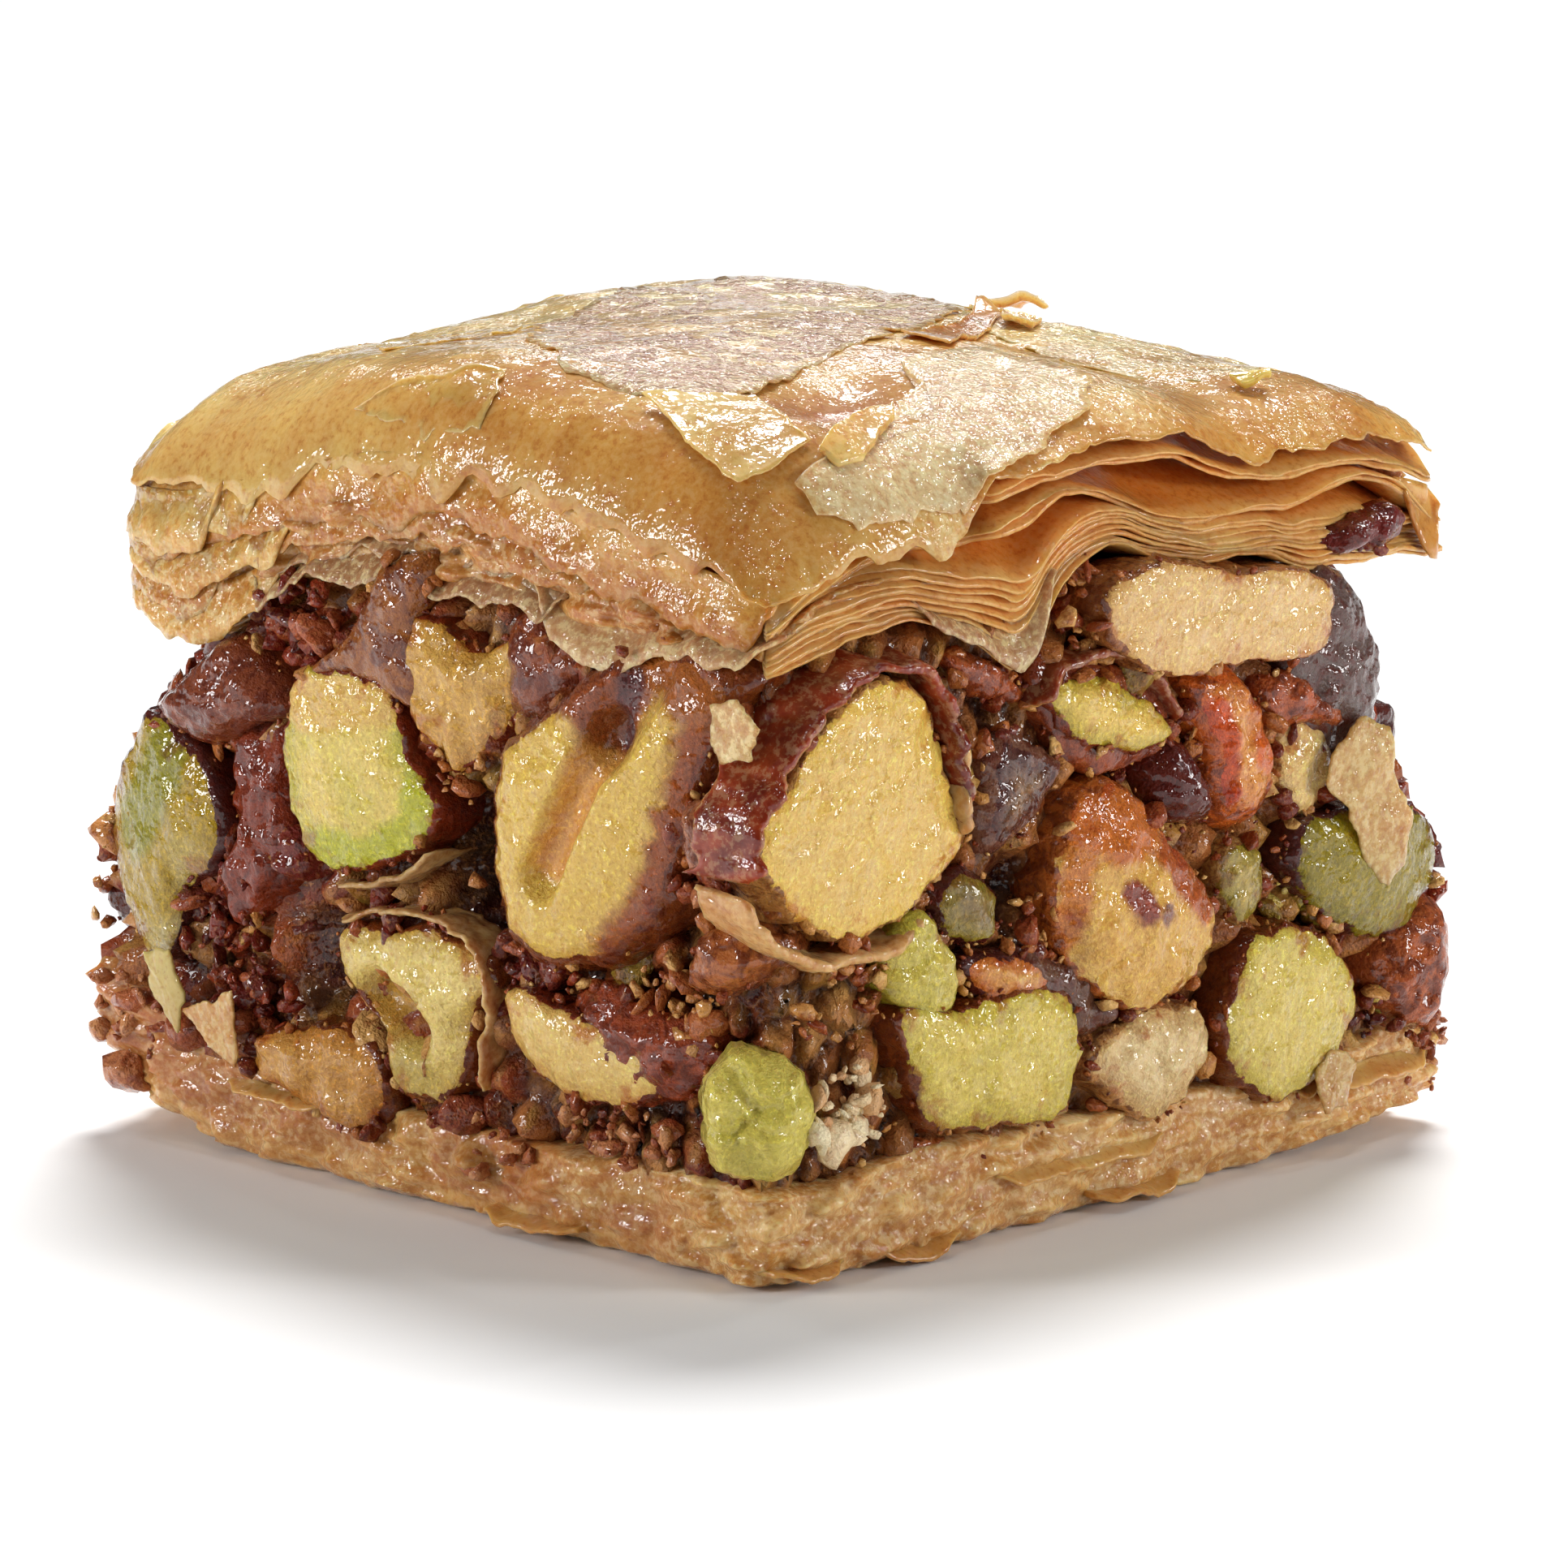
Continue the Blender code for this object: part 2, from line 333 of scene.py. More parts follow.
def stretched(x, y, lines):
    """A surface over the plan that meets the four sides' lines: front, right, back, left."""
    front, right, back, left = lines
    a = (x / HALF + 1) / 2
    b = (y / HALF + 1) / 2
    edges = (1 - b) * line(x, front) + b * line(x, back)
    edges = edges + (1 - a) * line(y, left) + a * line(y, right)
    corners = (1 - a) * (1 - b) * line(-HALF, front) + a * (1 - b) * line(HALF, front)
    corners = corners + (1 - a) * b * line(-HALF, back) + a * b * line(HALF, back)
    return edges - corners


def shoulder(distance, reach):
    """A rounded rise that is highest this far in from an edge."""
    share = np.maximum(distance, 0) / reach
    return share * np.exp(1 - share)


def lid_top(x, y):
    """Height of the lid's upper face: a dome whose front rolls over."""
    inside = smooth((HALF - abs(x)) / 6), smooth((HALF - abs(y)) / 6)
    front = np.maximum(y + HALF, 0)
    roll = (1.9 * shoulder(front, 4.0) + 1.4 * (1 - np.exp(-front / 0.9)) * np.exp(-front / 9)) * inside[0]
    roll = roll + 0.5 * shoulder(HALF - x, 3.0) * inside[1]
    roll = roll - line(y, CORNER_FOLD, 0.3) * np.exp(-np.maximum(HALF - x, 0) / 0.8)
    roll = roll - line(x, FRONT_FOLD) * np.exp(-front / 0.6)
    dent = 1.0 * np.exp(-(((x - 14) / 3.2) ** 2 + ((y + 9.5) / 4.2) ** 2))
    top = stretched(x, y, TOP_LINES) + roll - dent + 0.3 * noise(x, y, 0, 8.0, 5)
    return top - 0.3 * np.maximum(top - 37.5, 0)


CORNER_DRAW = {(1, -1): 0.02, (-1, -1): 0.085, (1, 1): 0.02, (-1, 1): 0.045}


def drawn_in(u, v):
    """The plan's points for u and v from -1 to 1, with the corners of the square drawn in."""
    share = sum(draw * (1 + su * u) * (1 + sv * v) / 4 for (su, sv), draw in CORNER_DRAW.items())
    width = HALF * (1 - share * (u * u * v * v) ** 4)
    return width * u, width * v


def around(count):
    """The outline of the unit plan from the left front corner: u, v, side and place along it."""
    place = np.arange(count) * 4.0 / count
    side = np.floor(place).astype(int)
    run = 2 * (place - side) - 1
    ones = np.ones(count)
    return np.choose(side, [run, ones, -run, -ones]), np.choose(side, [-ones, run, ones, -run]), side, place


def along_edges(u, v, side, lines):
    """The four sides' lines at each point of the outline."""
    places = (HALF * u, HALF * v, HALF * u, HALF * v)
    return np.choose(side, [line(place, points) for place, points in zip(places, lines)])


# How far the filling draws back at its left front and right back corners, as (height, distance).
LEFT_TIP = ((3, 0.0), (12, 0.3), (14.7, 0.8), (20.7, 2.7), (25, 5.4), (28, 7.0), (31, 7.5))
RIGHT_TIP = ((3, 0.0), (13, 0.2), (17, 2.0), (19, 3.0), (22.7, 3.8), (27.4, 6.0), (31, 7.5))


def drawn_back(x, y, z):
    """How far the filling draws back here, so that the lid's two side tips stand free of it."""
    left = 2 * line(z, LEFT_TIP) - np.maximum(x + HALF, y + HALF)
    right = 2 * line(z, RIGHT_TIP) - np.maximum(HALF - x, HALF - y)
    return np.maximum(np.maximum(left, right), 0) / 1.9


def wall(heap, heights, inset, count, **values):
    """A closed body whose side goes all round the piece at these heights, set in by inset."""
    u, v, _, _ = around(count)
    x, y = drawn_in(u, v)
    shrink = 1 - inset / HALF
    rings = np.stack([x * shrink, y * shrink, heights], axis=-1)
    ends = []
    for ring, level in ((rings[0], heights[0].mean()), (rings[-1], heights[-1].mean())):
        for scale in (0.9, 0.65, 0.35):
            cap = ring * (scale, scale, 1)
            cap[:, 2] = level + (ring[:, 2] - level) * max(0, scale - 0.65) * 2
            ends.append(cap)
    rings = np.concatenate([np.stack(ends[2::-1]), rings, np.stack(ends[3:])])
    rows = len(rings)
    spread = {}
    for key, value in values.items():
        padding = ((3, 3), (0, 0)) + ((0, 0),) * (value.ndim - 2)
        value = np.pad(value, padding, mode="edge")
        value = value.reshape((-1,) + value.shape[2:])
        spread[key] = np.concatenate([value, value[[0, -1]]])
    hubs = [rings[0].mean(axis=0), rings[-1].mean(axis=0)]
    heap.add(
        np.concatenate([rings.reshape(-1, 3), hubs]),
        [grid_faces(rows, count, closed=True), end_fans(rows, count)], **spread,
    )


# ---------------------------------------------------------------- materials


SYRUP_TINT = (1.0, 0.94, 0.71)  # everything is soaked in it
LEAF_SYRUP_TINT = (0.92, 0.83, 0.6)


class Look:
    """A Principled material, with short helpers to add and join its nodes."""

    def __init__(self, name):
        self.material = bpy.data.materials.new(name)
        self.material.use_nodes = True
        self.tree = self.material.node_tree
        self.shader = self.tree.nodes["Principled BSDF"]
        self.place = self.node("ShaderNodeTexCoord").outputs["Object"]

    def node(self, kind, **settings):
        made = self.tree.nodes.new(kind)
        for key, value in settings.items():
            setattr(made, key, value)
        return made

    def join(self, source, target):
        if isinstance(source, bpy.types.NodeSocket):
            self.tree.links.new(source, target)
        elif isinstance(source, tuple):
            target.default_value = source[:3] + (1.0,)
        else:
            target.default_value = source

    def attribute(self, name, output="Fac"):
        return self.node("ShaderNodeAttribute", attribute_name=name).outputs[output]

    def scaled_place(self, stretch):
        if stretch is None:
            return self.place
        mapping = self.node("ShaderNodeMapping")
        mapping.inputs["Scale"].default_value = stretch
        self.join(self.place, mapping.inputs["Vector"])
        return mapping.outputs["Vector"]

    def noise(self, size, detail=3.0, roughness=0.55, distortion=0.0, stretch=None):
        """Noise with features of this many millimetres."""
        made = self.node("ShaderNodeTexNoise")
        made.inputs["Scale"].default_value = 1 / (size * MM)
        made.inputs["Detail"].default_value = detail
        made.inputs["Roughness"].default_value = roughness
        made.inputs["Distortion"].default_value = distortion
        self.join(self.scaled_place(stretch), made.inputs["Vector"])
        return made.outputs["Fac"]

    def cells(self, size, stretch=None, softness=0.5):
        """Distance from the middle of soft cells of this many millimetres."""
        made = self.node("ShaderNodeTexVoronoi", feature="SMOOTH_F1")
        made.inputs["Scale"].default_value = 1 / (size * MM)
        made.inputs["Smoothness"].default_value = softness
        self.join(self.scaled_place(stretch), made.inputs["Vector"])
        return made.outputs["Distance"]

    def sums(self, operation, a, b=0.5, clamp=False):
        made = self.node("ShaderNodeMath", operation=operation, use_clamp=clamp)
        self.join(a, made.inputs[0])
        self.join(b, made.inputs[1])
        return made.outputs["Value"]

    def spread(self, value, low, high, to_low=0.0, to_high=1.0):
        """Maps low..high to to_low..to_high, with soft ends."""
        made = self.node("ShaderNodeMapRange", interpolation_type="SMOOTHSTEP")
        limits = {"Value": value, "From Min": low, "From Max": high, "To Min": to_low, "To Max": to_high}
        for key, limit in limits.items():
            self.join(limit, made.inputs[key])
        return made.outputs["Result"]

    def mix(self, share, a, b, blend_type="MIX"):
        made = self.node("ShaderNodeMix", data_type="RGBA", blend_type=blend_type)
        self.join(share, made.inputs["Factor"])
        self.join(a, made.inputs[6])
        self.join(b, made.inputs[7])
        return made.outputs[2]

    def bump(self, height, depth, before=None):
        """Relief of this many millimetres."""
        made = self.node("ShaderNodeBump")
        made.inputs["Distance"].default_value = depth * MM
        self.join(height, made.inputs["Height"])
        if before is not None:
            self.join(before, made.inputs["Normal"])
        return made.outputs["Normal"]

    def finish(self, colour, roughness, normal, wet, coat, coat_roughness, glow, tint=SYRUP_TINT):
        """Syrup as a clear coat, with its own relief, over a soft body that lets some light through."""
        inputs = self.shader.inputs
        self.join(self.mix(1.0, colour, tint, "MULTIPLY"), inputs["Base Color"])
        self.join(roughness, inputs["Roughness"])
        self.join(normal, inputs["Normal"])
        self.join(wet, inputs["Coat Normal"])
        self.join(coat, inputs["Coat Weight"])
        inputs["Coat Roughness"].default_value = coat_roughness
        inputs["Specular IOR Level"].default_value = 0.1
        inputs["Coat IOR"].default_value = 1.45
        inputs["Subsurface Weight"].default_value = glow
        inputs["Subsurface Radius"].default_value = (1.5, 0.7, 0.25)
        inputs["Subsurface Scale"].default_value = MM
        return self.material


def leaf_look():
    """Baked leaf soaked in syrup, smooth amber where wet and crackled where it dried."""
    look = Look("glazed_leaf")
    crackle = look.attribute("crackle")
    tone = look.noise(4.0, 3.0, 0.6)
    fine = look.noise(0.4, 3.0, 0.65)
    colour = look.attribute("tint", "Color")
    colour = look.mix(look.spread(tone, 0.35, 0.7, 0.0, 0.3), colour, srgb(196, 126, 56), "MULTIPLY")
    specks = look.sums("MULTIPLY", look.spread(fine, 0.48, 0.62), look.spread(crackle, 0.0, 1.0, 0.12, 1.0))
    colour = look.mix(look.sums("MULTIPLY", specks, 0.6), colour, srgb(255, 238, 206))
    pores = look.spread(fine, 0.48, 0.32, 0.0, 0.45)
    colour = look.mix(pores, colour, srgb(206, 142, 84), "MULTIPLY")
    fibres = look.noise(0.7, 2.0, 0.6, stretch=(0.7, 0.7, 1.2))
    relief = look.sums("MULTIPLY", fine, look.spread(crackle, 0.0, 1.0, 0.3, 1.0))
    normal = look.bump(fibres, 0.05, look.bump(relief, 0.07))
    bubbles = look.sums("ADD", look.noise(0.3, 1.0), look.sums("MULTIPLY", look.noise(1.4, 1.0), 1.2))
    bubbles = look.sums("MULTIPLY", bubbles, look.spread(crackle, 0.0, 1.0, 0.2, 1.0))
    wet = look.bump(bubbles, 0.2)
    return look.finish(colour, 0.4, normal, wet, 1.0, 0.06, 0.35, LEAF_SYRUP_TINT)


def nut_look():
    """Cut flesh, its rim and the thin skin, from each nut's own colours."""
    look = Look("nuts")
    ragged = look.noise(1.1, 4.0, 0.62)
    border = look.sums("ADD", look.attribute("cut"), look.spread(ragged, 0.25, 0.75, -0.4, 0.4))
    is_flesh = look.spread(border, -0.06, 0.06)
    rim = look.attribute("rim", "Color")
    flesh = look.mix(look.spread(border, 0.0, 1.8), rim, look.attribute("flesh", "Color"))
    flesh = look.mix(look.spread(look.noise(2.2, 2.0), 0.35, 0.75, 0.0, 0.5), flesh, rim)
    grain = look.noise(0.24, 2.0, 0.7)
    flesh = look.mix(look.spread(grain, 0.5, 0.3, 0.0, 0.35), flesh, rim, "MULTIPLY")
    flesh = look.mix(look.spread(grain, 0.52, 0.7, 0.0, 0.7), flesh, srgb(236, 230, 214), "OVERLAY")
    stain = look.sums("SUBTRACT", look.noise(1.7, 4.0, 0.65), look.sums("MULTIPLY", border, 0.07))
    flesh = look.mix(look.spread(stain, 0.46, 0.62, 0.0, 0.7), flesh, srgb(206, 134, 92), "MULTIPLY")
    wrinkles = look.noise(1.1, 3.0, 0.6, 1.2)
    skin = look.attribute("skin", "Color")
    skin = look.mix(look.spread(wrinkles, 0.4, 0.62, 0.0, 0.75), skin, srgb(88, 26, 10))
    skin = look.mix(look.spread(grain, 0.5, 0.3, 0.0, 0.6), skin, srgb(186, 110, 70), "MULTIPLY")
    colour = look.mix(is_flesh, skin, flesh)
    normal = look.bump(look.sums("ADD", wrinkles, grain), 0.16)
    film = look.sums("ADD", look.noise(0.45, 1.0), look.sums("MULTIPLY", look.noise(1.5, 1.0), 4.0))
    wet = look.bump(film, 0.14)
    return look.finish(colour, 0.35, normal, wet, 1.0, 0.05, 0.2)


def mass_look():
    """Chopped nuts, crumbs, dough and syrup, in each point's own colour."""
    look = Look("chopped_mass")
    colour = look.attribute("tint", "Color")
    patches = look.noise(0.9, 3.0, 0.65)
    grains = look.noise(0.25, 2.0, 0.65)
    gloss = look.attribute("gloss")
    # Syrup patches darken the colour more where gloss is high. On the chopped core gloss grows with depth, so this also
    # paints shade in its sunken parts.
    sticky = look.sums("MULTIPLY", look.spread(patches, 0.45, 0.65, 0.0, 0.8), gloss)
    colour = look.mix(sticky, colour, srgb(168, 84, 54), "MULTIPLY")
    colour = look.mix(look.spread(grains, 0.5, 0.75, 0.0, 0.3), colour, srgb(226, 160, 104))
    normal = look.bump(look.sums("ADD", patches, look.sums("MULTIPLY", grains, 0.7)), 0.3)
    film = look.sums("ADD", look.noise(0.5, 1.0), look.sums("MULTIPLY", look.noise(1.2, 1.0), 3.0))
    wet = look.bump(film, 0.14)
    return look.finish(colour, 0.4, normal, wet, gloss, 0.05, 0.0)


# ---------------------------------------------------------------- the lid

AMBER = srgb(222, 174, 102)
DEEP_AMBER = srgb(204, 146, 76)
HONEY = srgb(250, 222, 166)
CREAM_LEAF = srgb(226, 198, 160)
LEAF_END = srgb(224, 176, 124)
LEAF_DEEP = srgb(232, 140, 62)
LEAF_VALUES = {"tint": AMBER, "crackle": 0.0}


def top_tint(x, y):
    """Colour of the top leaf over the plan, with painted light on its left front dome and painted sheen towards its
    back left, and how crackled it is.
    """
    bake = smooth(0.5 + 0.9 * rough(x, y, 0, 9.0, 31, 3))
    tint = blend(bake, AMBER, DEEP_AMBER)
    # pale paints light: lighter honey on the left front of the dome and towards the back left, where the dome catches
    # the lamps.
    pale = smooth((4 - x) / 16) * np.exp(-(((y + 16.5) / 5) ** 2)) + smooth((y - x + 4) / 22)
    tint = blend(0.8 * np.minimum(pale, 1), tint, HONEY)
    flank = smooth((y + HALF - 2.0) / 7)
    crackle = smooth(0.25 + 1.1 * rough(x, y, 0, 7.0, 33, 3)) * flank
    syrup = np.exp(-(((x - 14.5) / 3.2) ** 2 + ((y + 10) / 3.6) ** 2))
    # Crackled patches are paler; the outer blend paints sheen as lighter honey towards the back left.
    tint = blend(0.6 * smooth((y - x) / 25), blend(0.6 * crackle, tint, HONEY), HONEY)
    tint = blend(0.8 * syrup, tint, srgb(186, 104, 56))
    return tint, (0.15 + 0.7 * crackle) * (1 - 0.9 * syrup)


def top_leaf(material):
    """The uppermost leaf, over the whole lid and rolling over its front."""
    heap = Heap("top_leaf", **LEAF_VALUES)
    count = 133
    s = np.linspace(-1, 1, count)
    s = s * (1 + 0.16 * (1 - s * s))
    u, v = np.meshgrid(s, s)
    x, y = drawn_in(u, v)
    fray = 0.4 * rough(x, y, 0, 5.0, 41, 2) + 0.3 * rough(x, y, 0, 2.6, 42, 3)
    shrink = 1 - np.clip(0.35 + fray, -0.1, 1.6) / HALF
    x, y = x * shrink, y * shrink
    rim = np.maximum(abs(u), abs(v))
    z = lid_top(x, y) + 0.12 * rough(x, y, 0, 2.4, 43, 3) + 0.05 * rough(x, y, 0, 0.7, 44, 2)
    z = z + 0.3 * rough(x, y, 0, 1.6, 45, 3) * smooth((rim - 0.9) / 0.1)
    z = z - 0.5 * np.exp(-((x + 17.5) / 3.5) ** 2 - ((y + 23) / 2) ** 2)
    tint, crackle = top_tint(x, y)
    sheet(heap, np.stack([x, y, z], axis=-1), 0.26 - 0.16 * smooth((rim - 0.96) / 0.04),
          tint=tint.reshape(-1, 3), crackle=crackle.ravel())
    heap.build(material, "pastry_lid")


LEAF_POINTS = 440
LEAF_ROWS = 5

# Shares of the lid's height at which its packs of leaves lie, along each side.
STACK_TOP = (
    ((-23, 0.6), (-16, 0.55), (-8, 0.5), (2, 0.35), (13, 0.5), (19, 0.75), (23, 0.8)),
    ((-23, 0.8), (-20, 0.8), (-16, 0.6), (-13, 0.5), (-9.5, 0.45), (-8, 0.5), (-4, 0.38),
     (-2, 0.42), (1, 0.36), (4, 0.28), (7, 0.4), (12, 0.42), (17, 0.5), (23, 0.35)),
    ((-23, 0.6), (-12, 0.45), (0, 0.65), (10, 0.4), (23, 0.35)),
    ((-23, 0.6), (-10, 0.5), (0, 0.65), (12, 0.45), (23, 0.6)),
)
MIDDLE_PACK = (
    ((-23, 0.75), (-16, 0.72), (-8, 0.66), (2, 0.6), (13, 0.7), (19, 0.87), (23, 0.9)),
    ((-23, 0.9), (-16, 0.75), (-10, 0.68), (-8, 0.8), (-4, 0.8), (-2, 0.66), (1, 0.45),
     (3.5, 0.34), (7, 0.55), (12, 0.66), (17, 0.86), (19.5, 0.84), (21.5, 0.5), (23, 0.4)),
    ((-23, 0.8), (-12, 0.7), (0, 0.75), (10, 0.62), (23, 0.4)),
    ((-23, 0.75), (-10, 0.7), (0, 0.8), (12, 0.6), (23, 0.8)),
)


def leaf_band(heap, index, edge, inner, inset, thickness=0.22):
    """One ragged leaf all round the lid, from its outer edge in to where the leaves are fused."""
    u, v, _, _ = around(LEAF_POINTS)
    t = np.linspace(0, 1, LEAF_ROWS)[:, None]  # 0 at the outer edge
    depth = inset + (6.5 - inset) * t**1.4
    x, y = drawn_in(u, v)
    x, y = x * (1 - depth / HALF), y * (1 - depth / HALF)
    z = edge + (inner - edge) * smooth(t * 0.9)
    z = z + (0.34 * noise(x, y, index * 0.8, 3.0, 60) + 0.1 * noise(x, y, index * 3.0, 0.9, 61)) * (1 - t)
    half = thickness / 2 * (0.5 + 0.5 * smooth(t / 0.15))
    rows = 2 * LEAF_ROWS
    upper, lower = (np.stack([x, y, z + side * half], axis=-1) for side in (1, -1))
    points = np.concatenate([upper[::-1], lower]).reshape(-1, 3)
    ring = np.arange(LEAF_POINTS)
    after = (ring + 1) % LEAF_POINTS
    last = (rows - 1) * LEAF_POINTS
    closing = np.stack([ring, after, after + last, ring + last], axis=-1)
    share = np.concatenate([t[::-1], t]) + 0 * u
    ends = smooth(1.3 - share * 5)
    spots = rough(points[:, 0], points[:, 1], index * 2.0, 3.0, 81, 3)
    tint = blend(ends.ravel() * np.clip(0.75 + 0.6 * spots, 0, 1), LEAF_DEEP, LEAF_END)
    tint = blend(smooth(1.1 - share * 2.2).ravel() * 0.4, tint, AMBER)
    heap.add(points, [grid_faces(rows, LEAF_POINTS, closed=True, flip=True), closing], tint=tint)


def lid_leaves(material):
    """The pack of leaves whose ends show under the top leaf, each at its own height."""
    u, v, side, place = around(LEAF_POINTS)
    x0, y0 = drawn_in(u, v)
    top = along_edges(u, v, side, TOP_LINES) - 0.35
    under = along_edges(u, v, side, UNDER_LINES)
    stack = along_edges(u, v, side, STACK_TOP)
    middle = along_edges(u, v, side, MIDDLE_PACK)
    inner_top = lid_top(x0 * 0.72, y0 * 0.72) - 0.6
    inner_under = 29.8
    lower = Heap("lower_leaves", **LEAF_VALUES)
    upper = Heap("upper_leaves", **LEAF_VALUES)
    plans = [(lower, stack * step / 8, 0.02 + 0.56 * step / 8, 0.3) for step in range(9)]
    plans.append((lower, middle - 0.05, 0.66, 0.55))
    plans.append((upper, middle, 0.7, 0.35))
    plans.append((upper, 0.93 + 0 * middle, 0.88, 0.5))
    plans.append((upper, 0.985 + 0 * middle, 0.94, 0.35))
    behind_fold = np.where(side == 1, line(HALF * v, CORNER_FOLD, 0.5), 0.0)
    for index, (heap, share, inner_share, inset) in enumerate(plans):
        inset = inset + 0.5 * behind_fold * smooth((share - 0.4) / 0.3) + 1.3 * (side == 0)
        edge = under + share * (top - under)
        inner = inner_under + inner_share * (inner_top - inner_under)
        wander = 0.7 * noise(place * 11.5, index * 0.9, 0, 3.5, 71)
        wander = wander + 0.3 * rough(place * 11.5, index * 5.0, 0, 1.2, 72, 3)
        leaf_band(heap, index, edge, inner, np.clip(inset + wander, 0.0, 2.6), (0.26, 0.4, 0.2, 0.32)[index % 4])
    lower.build(material, "pastry_lid")
    upper.build(material, "pastry_lid")


def skirt(heap, side, start, end, high, low, out, tint, fray=0.5, seed=1, thickness=0.2, rows=12, bow=0.0,
          crackle=0.0):
    """A leaf that hangs over the side between two height lines, its lower edge ragged.

    out gives how far it stands out of the side at its top and bottom, and bow between them.
    """
    columns = int((end - start) / 0.23)
    along = np.linspace(start, end, columns)
    edge = smooth((along - start) / 1.2) * smooth((end - along) / 1.2)
    upper = line(along, high)
    lower = line(along, low) + fray * rough(along, seed, 0, 3.0, 300 + seed, 4)
    lower = upper + (lower - upper) * (0.25 + 0.75 * edge)
    t = np.linspace(0, 1, rows)[:, None]
    up = upper + (lower - upper) * t
    level = out[0] + (out[1] - out[0]) * smooth(t) + bow * np.sin(math.pi * t)
    level = level + 0.4 * noise(along, up, seed, 3.4, 310 + seed) * smooth(t / 0.3)
    level = level + 0.16 * rough(along, 1.5 * up, seed, 1.2, 320 + seed, 3) - 0.5 * (1 - edge)
    points = on_side(side, along + 0 * t, up, level, drawn=True)
    shade = smooth(t * 1.1 + 0.3 * noise(along, up, seed, 2.0, 330 + seed)) + 0 * along
    colours = blend(shade.ravel(), tint[0], tint[1])
    taper = thickness * (1 - 0.5 * smooth((t - 0.8) / 0.2)) + 0 * along
    sheet(heap, points, taper, tint=colours, crackle=crackle)


def lid_skirts(material):
    """Leaves that droop over the lid's sides."""
    heap = Heap("drooping_leaves", **LEAF_VALUES)
    grey = (srgb(148, 82, 34), srgb(176, 138, 110))
    # amber runs from AMBER at the top to a darker amber at the lower edge: painted shade where the lid's flank rolls
    # under.
    amber = (AMBER, srgb(192, 128, 54))

    def shifted(points, change):
        return tuple((place, height + change) for place, height in points)

    def between(share, change=0.0):
        """A height line this share of the way down the lid's front."""
        places = np.arange(-23, 24, 2)
        heights = (1 - share) * line(places, FRONT_TOP) + share * line(places, FRONT_UNDER) + change
        return tuple(zip(places, heights))

    tan = (srgb(174, 108, 46), srgb(190, 130, 66))
    skirt(heap, "front", -22.6, 22.4, shifted(FRONT_TOP, 0.9), shifted(FRONT_TOP, -2.0), (-0.7, -0.25), amber,
          1.0, 2, 0.3, crackle=0.3)
    skirt(heap, "front", -21, 12, shifted(FRONT_TOP, -1.2), shifted(FRONT_TOP, -3.0), (-0.6, -0.15), tan, 1.0, 3,
          crackle=0.4)
    skirt(heap, "front", -13, 12.5, shifted(FRONT_TOP, -2.4), shifted(FRONT_UNDER, 0.9), (-1.4, -0.5), grey,
          0.9, 4, bow=-0.2, crackle=0.5)
    skirt(heap, "front", -11, 10, shifted(FRONT_UNDER, 2.2), shifted(FRONT_UNDER, -0.1), (-1.5, 0.2), grey,
          1.0, 13, bow=-0.3, crackle=0.7)
    skirt(heap, "front", -23.7, -13, between(0, 1.7), between(0.35), (-1.2, 0.1),
          (srgb(216, 162, 92), srgb(228, 182, 118)), 0.6, 5, 0.3, crackle=0.4)
    for layer, end in enumerate((-10, -14, -8, -13, -9)):
        creamy = ((srgb(208, 150, 74), srgb(224, 176, 106)), (srgb(180, 118, 50), srgb(200, 144, 76)))[layer % 2]
        skirt(heap, "front", -22.9 + 0.2 * (layer % 2), end, between(layer / 5, 0.9), between((layer + 1.4) / 5),
              (-0.6, -0.05), creamy, 0.8, 50 + layer, 0.24, 8, crackle=0.6)
    skirt(heap, "front", 8, 22.6, ((8, 30.6), (13, 29.6), (18, 30.0), (23, 29.4)), shifted(FRONT_UNDER, -0.1),
          (-1.2, 0.3), (srgb(190, 142, 104), srgb(206, 166, 134)), 0.8, 6, crackle=0.7)
    skirt(heap, "right", -13.5, -4.4, ((-14, 30.4), (-10, 29.6), (-8, 28.6), (-6, 29.6), (-4, 30.8)),
          shifted(RIGHT_UNDER, -0.1), (-1.2, 0.2), (srgb(206, 168, 128), srgb(196, 162, 136)), 0.7, 8,
          crackle=0.7)
    skirt(heap, "right", 19.6, 22.8, ((19, 31.6), (21, 31.2), (23, 30.4)), ((19, 28.6), (21, 27.6), (23, 27.4)),
          (-0.6, 0.3), (srgb(232, 180, 112), srgb(206, 148, 78)), 0.8, 9, 0.3)
    skirt(heap, "left", -22, 6, shifted(LEFT_TOP, -0.5), shifted(LEFT_TOP, -1.6), (-0.5, -0.2), amber, 0.7, 10, 0.3)
    skirt(heap, "left", -16, 18, shifted(LEFT_TOP, -3.0), shifted(LEFT_UNDER, 0.1), (-1.3, 0.1), grey, 0.8, 11)
    skirt(heap, "back", -14, 19, shifted(BACK_TOP, -2.8), shifted(BACK_UNDER, 0.1), (-1.3, 0.1), grey, 0.8, 12)
    heap.build(material, "pastry_lid")


def ragged_outline(corners, count, wobble, seed):
    """A closed outline with straight torn sides between the corners."""
    corners = np.array(corners, dtype=float)
    closed = np.concatenate([corners, corners[:1]])
    run = np.concatenate([[0], np.cumsum(np.linalg.norm(np.diff(closed, axis=0), axis=1))])
    spots = np.linspace(0, run[-1], count, endpoint=False)
    curve = np.stack([np.interp(spots, run, closed[:, axis]) for axis in (0, 1)], axis=-1)
    shift = wobble * rough(curve[:, 0], curve[:, 1], seed, 1.6, seed, 4)[:, None]
    middle = corners.mean(axis=0)
    arms = curve - middle
    return middle, middle + arms * (1 + shift / np.linalg.norm(arms, axis=1, keepdims=True))


